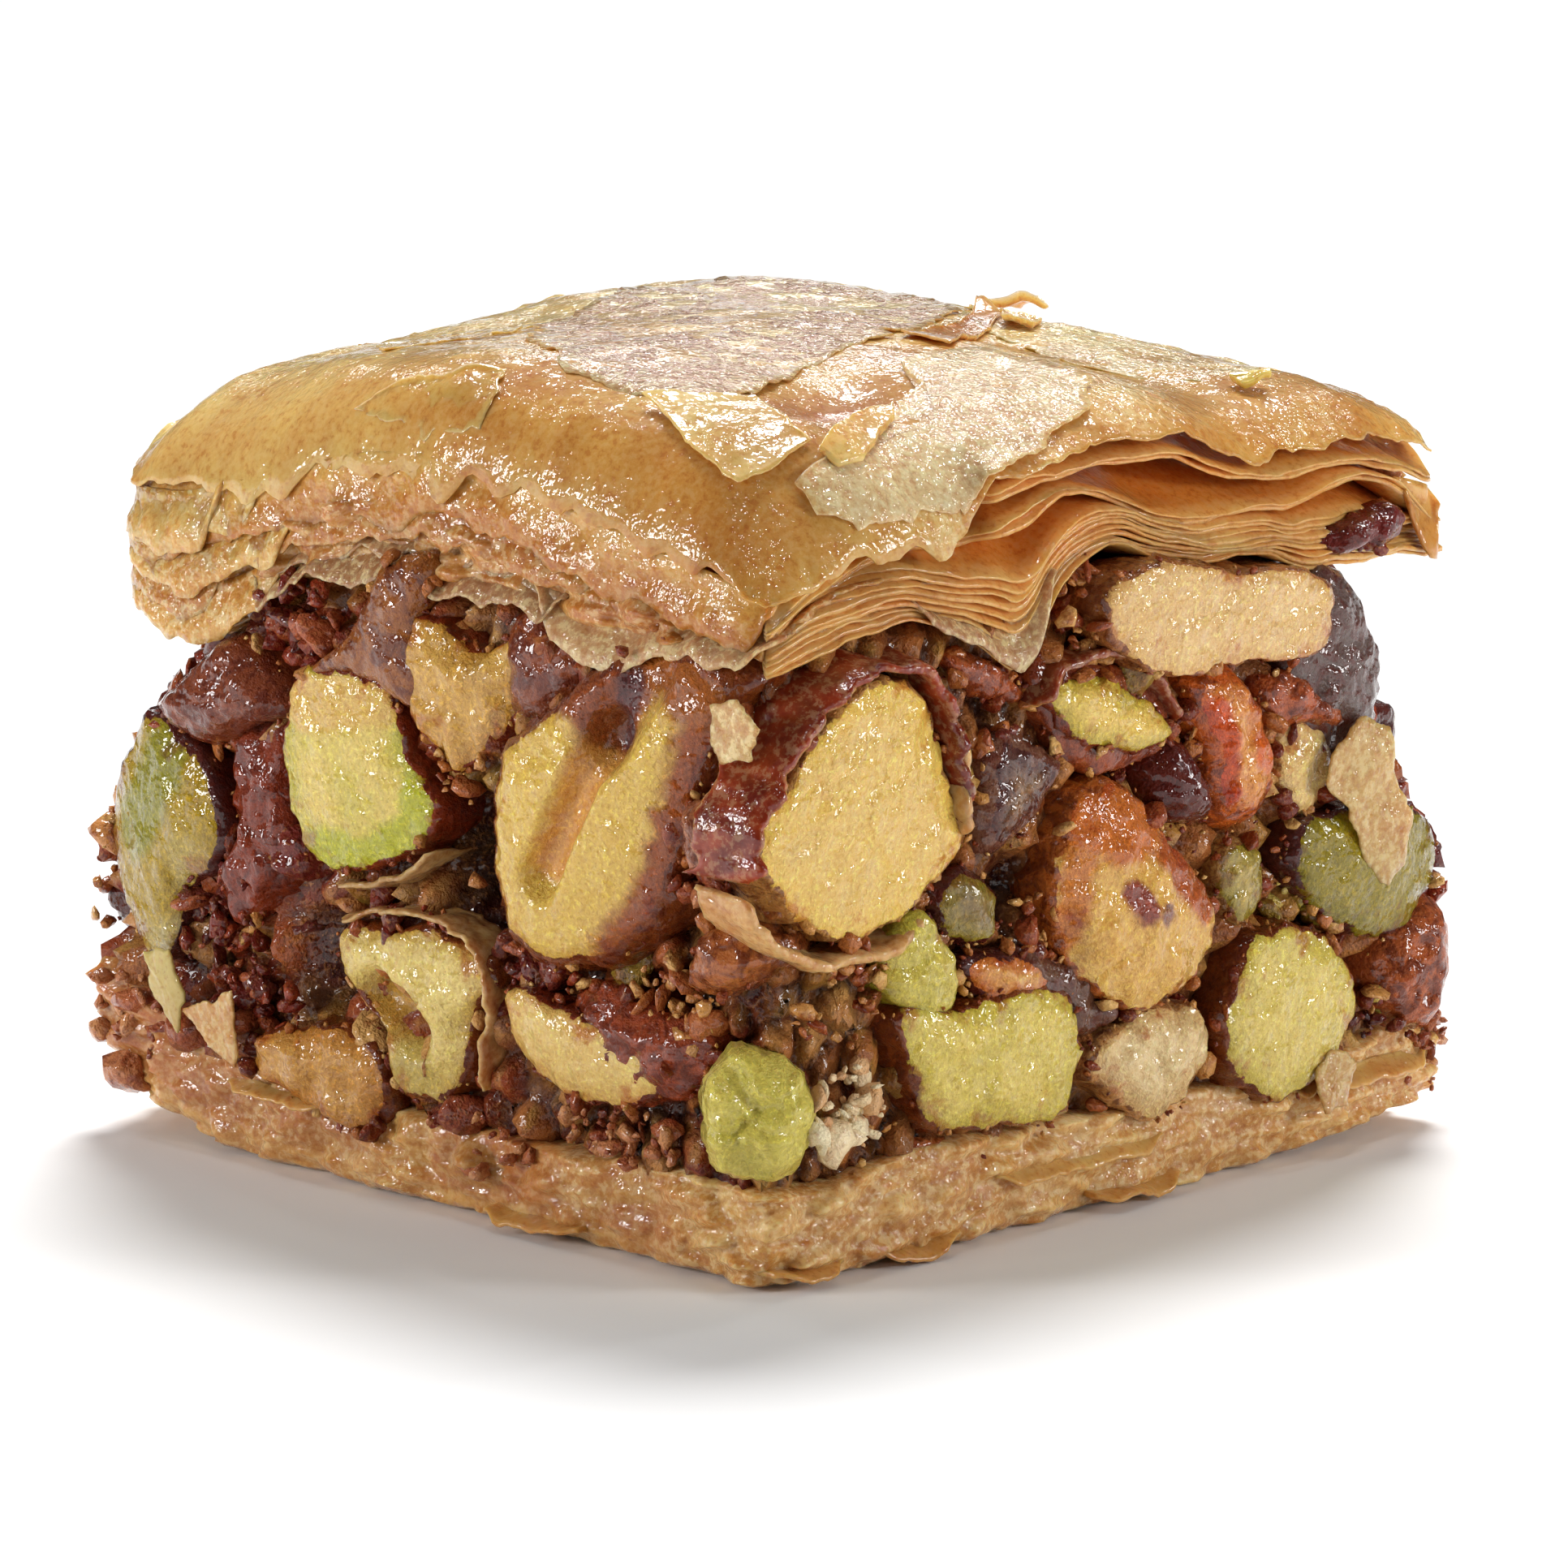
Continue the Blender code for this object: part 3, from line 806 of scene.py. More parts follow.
def flake(heap, corners, tint, lift=0.2, rise=0.6, curls=(), wobble=0.5, crackle=0.6, seed=1,
          thickness=0.16, count=140, rings=12):
    """A torn flake lying on the lid, whose edge stands off it.

    Each curl is (x, y, reach, height) and bends the flake up around that place.
    """
    middle, curve = ragged_outline(corners, count, wobble, seed)
    share = np.concatenate([[0.03], np.linspace(0, 1, rings)[1:] ** 0.8])[:, None]
    x = middle[0] + share * (curve[:, 0] - middle[0])
    y = middle[1] + share * (curve[:, 1] - middle[1])
    z = lid_top(x, y) + lift + rise * share**6
    z = z + 0.16 * rough(x, y, seed, 2.2, 400 + seed, 3) + 0.05 * rough(x, y, seed, 0.6, 410 + seed, 2)
    for place_x, place_y, reach, height in curls:
        z = z + height * np.exp(-((x - place_x) ** 2 + (y - place_y) ** 2) / reach**2)
    rows = len(share)
    half = thickness / 2 * (1 - 0.5 * share**8)
    upper, lower = (np.stack([x, y, z + way * half], axis=-1) for way in (1, -1))
    points = np.concatenate([upper, lower[::-1]]).reshape(-1, 3)
    hubs = [upper[0].mean(axis=0), lower[0].mean(axis=0)]
    spots = smooth(0.5 + 0.8 * rough(x, y, seed, 4.0, 420 + seed, 3))
    colours = blend(spots, tint[0], tint[1])
    colours = blend(0.35 * share**12 + 0 * x, colours, HONEY)
    values = np.broadcast_to(colours, (rows, count, 3))
    tints = np.concatenate([values, values[::-1]]).reshape(-1, 3)
    heap.add(
        np.concatenate([points, hubs]),
        [grid_faces(2 * rows, count, closed=True, flip=False), end_fans(2 * rows, count)],
        tint=np.concatenate([tints, [values[0, 0], values[0, 0]]]), crackle=crackle,
    )


def lid_filler(material):
    """The fused leaves behind the leaf ends."""
    heap = Heap("fused_leaves", **LEAF_VALUES)
    count, rows = 560, 25
    u, v, side, _ = around(count)
    x, y = drawn_in(u, v)
    t = np.linspace(0, 1, rows)[:, None]
    low = along_edges(u, v, side, UNDER_LINES) + 0.4
    top = along_edges(u, v, side, TOP_LINES) - 0.6
    share = np.where(side == 1, along_edges(u, v, side, STACK_TOP) - 0.02, 0.92)
    ends = smooth((u * (side == 0) + 1 - (side != 0) - 0.85) / 0.15) * (side == 0)
    share = share * (1 - ends) + ends * 0.75
    z = low + share * (top - low) * t
    ridges = np.abs(np.sin((z / 0.55 + 0.9 * noise(x, y, z, 4.0, 51)) * math.pi))
    lumps, _ = chunks(0.8 * x, 0.8 * y, 1.2 * z, 2.6, 55)
    out = -1.15 + (0.3 - 0.15 * (side == 0)) * ridges + 0.5 * rough(x, y, 1.6 * z, 3.0, 52, 4)
    out = out + (0.35 + 0.9 * smooth(lumps / 0.7)) * (side == 0)
    out = out - 2.0 * smooth((t - 0.9) / 0.1) - 1.5 * smooth((0.1 - t) / 0.1)
    tint = blend(smooth(0.5 + rough(x, y, 1.5 * z, 2.5, 53, 3)), srgb(188, 124, 58), srgb(210, 160, 98))
    tint = blend(smooth(0.2 + 1.5 * rough(x, y, 2 * z, 1.5, 54, 3)) * 0.6, tint, srgb(170, 110, 66))
    wall(heap, z, -out, count, tint=tint, crackle=0.5 + 0 * z)
    heap.build(material, "pastry_lid")


def lid_flakes(material):
    """Torn leaves and flakes lying on the lid."""
    heap = Heap("lid_flakes", **LEAF_VALUES)
    dusty = (srgb(172, 118, 92), srgb(202, 154, 128))
    pale = (srgb(222, 178, 142), srgb(238, 202, 170))
    flake(heap, ((-18, 8), (-11, -4), (-3, -12.5), (4.5, -17.4), (10, -18.2), (13.2, -16.4), (11.1, -10.8),
                 (9.1, -6), (5.4, 2.7), (-1.5, 14.5), (-9, 19), (-17, 18)), dusty, 0.04, 0.16,
          ((11, -12, 3, 0.25), (5, 3, 3, 0.2)), 0.7, 0.8, 1, count=280, rings=15)
    flake(heap, ((10.8, -18.7), (12.7, -16.8), (13.6, -14.3), (18, -16.4), (19, -16.2), (19.2, -19),
                 (18.8, -20.5), (17.9, -20.6), (15.8, -20.2)), (srgb(226, 182, 116), srgb(238, 204, 144)), 0.3,
          0.25, ((11.5, -18.2, 1.6, 0.3), (18.8, -20.4, 1.2, 0.3)), 0.15, 0.2, 2, 0.2, rings=16)
    flake(heap, ((20, -18), (19.7, -13.9), (16.1, -7.5), (15.1, -5), (11.8, -3.2), (10.8, 2.8), (18, 2.7),
                 (20.7, 0), (22.3, -4.7), (22.6, -8.3), (22.2, -12.6), (22.5, -13.4), (22.2, -16.7),
                 (21.3, -18.3)), pale, 0.12, 0.3, ((16, -7, 2, 0.25), (22, -15, 3, 0.3)), 0.45, 0.9, 3,
          count=280, rings=15)
    flake(heap, ((19.6, -16.3), (17.8, -12.1), (16.4, -8.4), (18.6, -10.6), (20.6, -14.6), (20.4, -16)),
          (srgb(226, 178, 100), srgb(240, 204, 136)), 0.5, 0.2, (), 0.15, 0.2, 4, 0.5, 120, 14)
    flake(heap, ((2, 12), (-3, 17), (-8, 22), (3, 22.4), (14, 21), (17, 14), (12, 8)), (HONEY, pale[1]),
          0.03, 0.12, ((3, 17, 4, 0.2),), 0.9, 0.8, 5, count=200, rings=13)
    flake(heap, ((-17, -5), (-14, -12), (-9, -16), (-9, -9), (-13, -3)), (AMBER, HONEY), 0.05, 0.12, (),
          0.8, 0.5, 6)
    flake(heap, ((-5, -21.6), (-2, -20.6), (0.7, -20.2), (2.6, -19.2), (3.8, -20.6), (4, -22), (0.5, -22.3)),
          (AMBER, AMBER), 0.05, 0.25, ((0.8, -20.4, 1.0, 0.3),), 0.4, 0.1, 7)
    flake(heap, ((6, 2.8), (1, 12.4), (-1.4, 15.7), (0.6, 15.4), (4, 10.6), (9, 3)),
          (srgb(190, 122, 56), srgb(214, 152, 84)), 0.15, 0.2, ((-1, 15.5, 0.9, 0.6),), 0.3, 0.2, 8, 0.2)
    flake(heap, ((1.4, 14.6), (2.9, 12.8), (4.6, 13.4), (3.2, 15.4)), pale, 0.2, 0.4,
          ((2.9, 13.8, 0.9, 0.5),), 0.4, 0.8, 11, 0.2, 90, 10)
    flake(heap, ((-5.6, 20.8), (-4, 21.4), (-3, 22.4), (-5, 22.6)), pale, 0.4, 0.4, ((-4, 22, 1.2, 0.9),),
          0.2, 0.3, 9, 0.2, 90, 10)
    flake(heap, ((17.4, 13), (18.6, 12.6), (19.4, 13.8), (18.4, 14.4)), (srgb(206, 190, 84), srgb(226, 206, 110)),
          0.3, 0.3, ((18.9, 13.8, 0.7, 0.7),), 0.15, 0.1, 10, 0.3, 70, 8)
    heap.build(material, "pastry_lid")


# ---------------------------------------------------------------- nuts

YELLOW = srgb(228, 200, 122)
PALE = srgb(230, 200, 134)
GOLD = srgb(208, 168, 84)
TAN = srgb(220, 184, 132)
CREAM = srgb(230, 206, 168)
LIME = srgb(184, 168, 60)
GREEN = srgb(158, 140, 44)
OLIVE = srgb(136, 122, 36)
ORANGE = srgb(192, 108, 44)
BROWN = srgb(128, 64, 26)
RUST = srgb(130, 50, 22)
MAROON = srgb(92, 24, 16)
PLUM = srgb(74, 32, 32)
HUSK = srgb(190, 148, 100)
SLATE = srgb(104, 88, 94)
NUT_VALUES = {"flesh": YELLOW, "rim": LIME, "skin": RUST, "cut": 1.0}
ALL_SKIN = 9.0  # a covered value that leaves no flesh


def smooth_outline(corners, count, wobble, seed):
    """A closed curve through the corners, slightly uneven."""
    corners = np.array(corners, dtype=float)
    before, after, beyond = (np.roll(corners, shift, axis=0) for shift in (1, -1, -2))
    steps = []
    for t in np.linspace(0, 1, 12, endpoint=False):
        steps.append(0.5 * (
            2 * corners + (after - before) * t
            + (2 * before - 5 * corners + 4 * after - beyond) * t**2
            + (3 * corners - before - 3 * after + beyond) * t**3
        ))
    curve = np.stack(steps, axis=1).reshape(-1, 2)
    return ragged_outline(curve, count, wobble, seed)


def seen(side, out):
    """The shift that keeps a thing standing out this far where it shows from the near corner."""
    way = {"front": 1, "right": -1}.get(side, 0)
    return way * out, 0.37 * abs(way) * out


def from_path(x, y, path):
    """Distance of points from a path of straight runs, or from a single place."""
    nearest = np.full(np.shape(x), 99.0)
    for start, end in zip(path, path[1:] or path):
        run = np.subtract(end, start)
        share = ((x - start[0]) * run[0] + (y - start[1]) * run[1]) / max(run @ run, 1e-9)
        share = np.clip(share, 0, 1)
        nearest = np.minimum(nearest, np.hypot(x - start[0] - share * run[0], y - start[1] - share * run[1]))
    return nearest


def nut(heap, side, corners, out=0.2, depth=5.0, crown=0.4, lean=(0, 0), edge=0.4, flesh=YELLOW,
        rim=LIME, skin=RUST, covered=0.0, dents=(), spots=(), wobble=0.3, grain=0.1, seed=1,
        count=80, fronts=10, backs=4):
    """One nut piece with this outline on a side face.

    out is how far its cut face stands out, lean tips that face, edge is the rounding of its rim,
    covered is how far the skin laps over the cut face. Each dent is (path, reach, depth) and each
    spot (path, reach, colour), along a path of places on the side face.
    """
    out = 0.6 * out
    middle, curve = smooth_outline(corners, count, wobble, seed)
    arms = curve - middle
    length = np.linalg.norm(arms, axis=1)
    round_share = min(edge / length.mean(), 0.5)
    profile = [(share, 0.0) for share in np.linspace(0, 1 - round_share, fronts)[1:]]
    for angle in np.linspace(0, math.pi / 2, 4)[1:]:
        profile.append((1 - round_share * (1 - math.sin(angle)), edge * (1 - math.cos(angle))))
    for t in np.linspace(0, 1, backs + 1)[1:]:
        profile.append((1 + 0.05 * math.sin(math.pi * min(t * 1.6, 1)) - 0.5 * t**3, edge + (depth - edge) * t))
    profile = [(0.02, 0.0), *profile, (0.1, depth + 0.2)]
    share, drop = (np.array(values)[:, None] for values in zip(*profile))
    along, up = (middle[axis] + share * arms[None, :, axis] for axis in (0, 1))
    chip = 0.32 * rough(along, up, drop, 1.2, 290 + seed, 4) * smooth((share - 0.8) / 0.2)
    along, up = along + chip * arms[:, 0] / length, up + chip * arms[:, 1] / length
    reach = np.minimum(share, 1)
    level = crown * (1 - reach**2) + lean[0] * (along - middle[0]) + lean[1] * (up - middle[1])
    level = level + grain * (rough(along, up, seed * 7.0, 1.6, 90 + seed, 3) - 0.5 * reach**4)
    level = level + (0.05 + 0.1 * reach**6) * rough(along, up, seed * 5.0, 0.7, 190 + seed, 2)
    for path, d_reach, d_depth in dents:
        level = level - d_depth * np.exp(-((from_path(along, up, path) / d_reach) ** 4))
    level = out + level * np.clip(1 - drop / depth, 0, 1) - drop
    colours, rims = (np.broadcast_to(colour, along.shape + (3,)) for colour in (flesh, rim))
    ragged = 0.25 * rough(along, up, seed, 1.0, 390 + seed, 3)
    cover = np.full(along.shape, float(covered))
    for path, d_reach, colour in spots:
        share_here = 1 - smooth((from_path(along, up, path) / d_reach + ragged - 0.75) / 0.5)
        colours, rims = blend(share_here, colours, colour), blend(share_here, rims, colour)
        skin = blend(share_here, skin, colour) if covered > 5 else skin
    front = np.arange(len(profile))[:, None] < fronts
    cut = np.where(front, (1 - share) * length, -drop - 0.1) - cover
    rows = len(profile)
    shift = seen(side, out + 0.5 * crown)
    points = on_side(side, along + shift[0], up + shift[1], level).reshape(-1, 3)
    rings = points.reshape(rows, count, 3)
    hubs = [rings[0].mean(axis=0), rings[-1].mean(axis=0)]
    ends = {"flesh": colours, "rim": rims, "cut": cut}
    if np.ndim(skin) == 3:
        ends["skin"] = skin
    values = {key: np.concatenate([value.reshape((rows * count,) + value.shape[2:]), value[[0, -1], 0]])
              for key, value in ends.items()}
    faces = [grid_faces(rows, count, closed=True, flip=True), end_fans(rows, count)[:, ::-1]]
    heap.add(np.concatenate([points, hubs]), faces, **{"skin": skin, **values})
    return curve + shift, out


def ball(level, made={}):
    """Points and triangles of a unit ball."""
    if level not in made:
        mesh = bmesh.new()
        bmesh.ops.create_icosphere(mesh, subdivisions=level, radius=1.0)
        points = np.array([vert.co[:] for vert in mesh.verts])
        made[level] = points, np.array([[vert.index for vert in face.verts] for face in mesh.faces])
        mesh.free()
    return made[level]


def turned(random):
    """A random rotation."""
    q = random.normal(size=4)
    w, x, y, z = q / np.linalg.norm(q)
    return np.array([
        [1 - 2 * (y * y + z * z), 2 * (x * y - z * w), 2 * (x * z + y * w)],
        [2 * (x * y + z * w), 1 - 2 * (x * x + z * z), 2 * (y * z - x * w)],
        [2 * (x * z - y * w), 2 * (y * z + x * w), 1 - 2 * (x * x + y * y)],
    ])


def bit(heap, place, size, tint, random, level, gloss):
    """A small chopped piece with a few flat broken faces."""
    ways, faces = ball(level)
    reach = np.ones(len(ways))
    for _ in range(5):
        normal = random.normal(size=3)
        facing = ways @ (normal / np.linalg.norm(normal))
        flat = random.uniform(0.3, 0.7) / np.maximum(facing, 0.05)
        reach = np.minimum(reach, np.where(facing > 0.05, flat, 9))
    seed = int(random.integers(1000))
    reach = reach * (1 + 0.3 * rough(ways[:, 0], ways[:, 1], ways[:, 2], 0.7, seed, 2))
    shape = ways * reach[:, None] * size * random.uniform(0.45, 1.45, size=3)
    heap.add(shape @ turned(random).T + place, [faces], tint=tint, gloss=gloss)


def husk(heap, side, path, out, width, thickness, tint, seed=1, ragged=0.3, lean=0.0):
    """A curved shell that stands out of a side face along a path."""
    path = np.array(path, dtype=float)
    out = 0.65 * out
    run = np.concatenate([[0], np.cumsum(np.linalg.norm(np.diff(path, axis=0), axis=1))])
    columns = int(run[-1] / 0.22)
    spots = np.linspace(0, run[-1], columns)
    along, up = (line(spots, list(zip(run, path[:, axis])), 0.8) for axis in (0, 1))
    step = np.stack([np.gradient(along), np.gradient(up)], axis=-1)
    step = step / np.linalg.norm(step, axis=1, keepdims=True)
    t = np.linspace(0, 1, 14)[:, None]
    ends = smooth(spots / 0.8) * smooth((run[-1] - spots) / 0.8)
    shift = lean * t + 0.3 * noise(spots, t * 2, seed, 1.8, 500 + seed) + 0.1 * rough(spots, t * 3, seed, 0.7, 510 + seed)
    top = out * (0.3 + 0.7 * ends) + ragged * rough(spots, seed, 0, 1.2, 520 + seed, 4)
    level = top - width * (1 - t)
    aside, raised = seen(side, 0.8 * out)
    points = on_side(side, along - step[:, 1] * shift + aside, up + step[:, 0] * shift + raised, level)
    body = thickness * (1 + 0.4 * rough(spots, t * 2, seed, 1.5, 530 + seed)) * (0.4 + 0.6 * ends)
    body = body * (1 - 0.4 * smooth((t - 0.85) / 0.15))
    spot = smooth(0.5 + 0.9 * rough(spots, t * 4, seed, 1.6, 540 + seed))
    sheet(heap, points, body, tint=blend(spot.ravel(), tint[0], tint[1]), crackle=0.25)


def free_flake(heap, side, corners, out, tint, curl=(0.0, 0.0), wobble=0.4, seed=1, thickness=0.22, crackle=0.5):
    """A torn scrap of leaf stuck to a side face; curl lifts it along and up."""
    out = 0.75 * out
    middle, curve = ragged_outline(corners, 130, wobble, seed)
    share = np.linspace(0.03, 1, 12)[:, None]
    along = middle[0] + share * (curve[:, 0] - middle[0])
    up = middle[1] + share * (curve[:, 1] - middle[1])
    level = out + curl[0] * (along - middle[0]) + curl[1] * (up - middle[1])
    level = level + 0.35 * noise(along, up, seed, 2.5, 600 + seed) + 0.05 * rough(along, up, seed, 0.5, 610 + seed)
    half = thickness / 2 * (1 - 0.5 * share**8)
    aside, raised = seen(side, out)
    upper, lower = (on_side(side, along + aside, up + raised, level + way * half) for way in (1, -1))
    points = np.concatenate([upper, lower[::-1]]).reshape(-1, 3)
    hubs = [upper[0].mean(axis=0), lower[0].mean(axis=0)]
    faces = [grid_faces(24, 130, closed=True, flip=False), end_fans(24, 130)]
    heap.add(np.concatenate([points, hubs]), faces, tint=tint, crackle=crackle)


def front_nuts(green, gold, dark):
    """The nuts that show on the front face, from left to right."""
    yield nut(green, "front", ((-18.5, 20.5), (-16.5, 20), (-14, 18.5), (-12.7, 16), (-14, 13.5), (-16, 12),
        (-16.5, 9.5), (-18.5, 8.5), (-20.5, 10.5), (-21.8, 14), (-21, 17.5)), out=0.2, crown=0.7,
        lean=(0.12, 0), flesh=srgb(164, 138, 22), rim=srgb(156, 128, 20), skin=PLUM, covered=0.1,
        dents=((((-15.5, 11.5),), 1.8, 0.4),),
        spots=((((-17, 18.5), (-19, 15)), 1.6, srgb(136, 132, 34)), (((-15, 11.5), (-15.5, 14)), 1.2, srgb(168, 148, 76)),
               (((-17, 9.4),), 1.4, srgb(176, 160, 104))), seed=3)
    yield nut(dark, "front", ((-13, 25), (-10, 23.7), (-8.4, 21.9), (-11, 20.8), (-14, 19.2), (-17, 19.6),
        (-18.5, 20.8), (-16, 22.8)), out=0.2, crown=1.2, edge=1.2, rim=RUST, skin=srgb(128, 62, 36),
        covered=ALL_SKIN, grain=0.4, seed=4)
    yield nut(dark, "front", ((-12.4, 20.5), (-9, 21.3), (-8.3, 18.5), (-7.8, 15), (-10, 12.5), (-12.7, 10.8),
        (-14, 12.5), (-12.6, 16)), out=-0.5, crown=0.8, edge=1.0, flesh=BROWN, rim=RUST, skin=RUST,
        covered=ALL_SKIN, grain=0.6, seed=5)
    yield nut(dark, "front", ((-9, 27), (-6.6, 27.5), (-2.5, 29), (-4, 26.5), (-7.6, 23.6), (-10, 24.4)),
        out=-2.8, depth=4, crown=0.6, skin=srgb(128, 38, 26), covered=ALL_SKIN, grain=0.6, seed=6)
    yield nut(green, "front", ((-7.6, 23.6), (-4.5, 24.5), (-1.5, 23.7), (0, 20.5), (1.5, 18.3), (0, 16.7),
        (-3, 15.3), (-6.5, 15), (-8.3, 17.5), (-8.6, 20.6)), out=0.9, depth=6, crown=0.5,
        lean=(-0.05, 0.03), flesh=srgb(220, 196, 118), rim=srgb(178, 172, 46),
        spots=((((-6, 15.6), (-2.5, 15.6), (0.4, 17.6), (0.6, 19.5)), 1.3, srgb(176, 178, 44)),
               (((-7, 22.6), (-2, 23.4)), 1.3, srgb(214, 178, 106))), seed=7, count=120, fronts=16)
    yield nut(dark, "front", ((-7.6, 23.6), (-5, 25.6), (-3, 28), (-1.6, 30), (1.2, 30), (0.2, 27), (0.6, 23.2),
        (-1.4, 23.4), (-4, 24.2)), out=1.0, depth=4, crown=0.5, edge=0.8, skin=srgb(146, 86, 36),
        covered=ALL_SKIN, grain=0.05, seed=8)
    yield nut(gold, "front", ((0.2, 27.9), (3.9, 26.6), (6.8, 27.4), (6.2, 23.7), (3.5, 20.8), (1.5, 21.5),
        (0, 24)), out=0.2, crown=0.5, lean=(-0.15, 0), flesh=srgb(206, 164, 92), rim=srgb(184, 136, 58),
        grain=0.4, seed=9)
    yield nut(dark, "front", ((6.4, 28.2), (9, 29.3), (11.8, 27.4), (10.6, 25.3), (7.6, 23.6), (5.6, 24.7)),
        out=-1.2, crown=1.0, skin=srgb(134, 66, 34), covered=ALL_SKIN, grain=0.3, seed=10)
    yield nut(gold, "front", ((5.6, 22), (8, 24), (12, 27.2), (16.5, 28.6), (20.2, 27.8), (19, 24.5), (17.5, 20),
        (15.6, 15.6), (12.5, 13.2), (9, 12.4), (6.2, 13.4), (5.3, 17)), out=1.2, depth=7, crown=0.9,
        lean=(-0.1, 0), edge=1.4, flesh=srgb(218, 184, 100), rim=srgb(206, 168, 76), skin=BROWN, covered=0.2,
        dents=((((15, 27), (12.6, 23.5)), 1.5, 0.9), (((12.8, 24), (10.9, 20.4), (9, 16.9)), 0.95, 1.2)),
        spots=((((11.9, 23), (10.4, 19.5), (9.2, 17.4)), 0.9, srgb(212, 154, 84)),
               (((10.2, 26), (13.4, 26.6), (12.6, 24.2)), 1.7, srgb(134, 66, 28)),
               (((20, 27.4), (19, 24), (18, 20.4), (16.4, 16), (13.6, 13)), 2.2, srgb(142, 70, 18)),
               (((16, 27.8), (18.5, 27)), 2.2, srgb(150, 84, 30)), (((13.6, 26.2), (13, 23.4)), 0.7, srgb(84, 40, 44))),
        seed=11, count=170, fronts=26)
    yield nut(gold, "front", ((-5, 12.2), (0.6, 13.1), (5.2, 12.2), (3.8, 9.4), (2.8, 6), (-1, 5), (-2.5, 7.8),
        (-5, 10.5)), out=0.5, crown=0.4, flesh=srgb(228, 206, 136), rim=srgb(190, 158, 82), skin=BROWN,
        dents=((((-2.4, 9.6), (-0.6, 8.8)), 1.1, 1.6), (((0.4, 8.2),), 1.0, 0.8)),
        spots=((((-2.4, 9.4), (-0.6, 8.6)), 1.1, srgb(178, 138, 66)), (((0, 6.2),), 1.6, srgb(190, 168, 96))),
        grain=0.35, seed=12)
    yield nut(gold, "front", ((6.8, 11.5), (10, 11), (14.3, 10.4), (16.5, 9), (14.5, 7.2), (10.9, 6.8),
        (7.5, 7.9), (6.1, 9.8)), out=1.0, crown=0.5, lean=(0, 0.1), flesh=PALE, rim=srgb(212, 172, 100),
        seed=13)
    yield nut(dark, "front", ((10, 11.2), (12, 12.4), (15.7, 12), (18.8, 11.3), (18.8, 9.5), (17, 7.9),
        (13, 7.6)), out=0.3, crown=0.8, skin=srgb(150, 66, 36), covered=ALL_SKIN, grain=0.5, seed=14)
    yield nut(gold, "front", ((-11.4, 5.9), (-7.6, 7.3), (-3.5, 7.2), (-2, 5.5), (-3.5, 2.8), (-7, 3.2),
        (-11, 4.4)), out=0.4, crown=0.6, flesh=srgb(204, 154, 86), rim=srgb(180, 122, 56), skin=BROWN,
        grain=0.5, seed=15)
    yield nut(green, "near", ((-2.6, 9.8), (-1.4, 11.1), (0.3, 10.9), (1.9, 9), (1.7, 6.6), (0.4, 5.3),
        (-1.9, 5.5), (-2.7, 7.4)), out=-0.1, crown=0.9, flesh=srgb(216, 204, 112), rim=srgb(180, 172, 60),
        skin=OLIVE, covered=-ALL_SKIN, grain=0.7, seed=16)
    yield nut(dark, "front", ((17.6, 14.2), (18.8, 16), (21.2, 16.4), (21.6, 14.4), (18.8, 12.8)), out=0.4, crown=0.8,
        skin=srgb(176, 104, 58), covered=ALL_SKIN, grain=0.5, seed=17)
    yield nut(dark, "front", ((17, 20.5), (18.5, 22), (21, 21.2), (21.4, 19.2), (18.9, 18.2), (17.2, 19)),
        out=0.9, crown=0.9, skin=srgb(176, 112, 84), covered=ALL_SKIN, grain=0.6, seed=18)


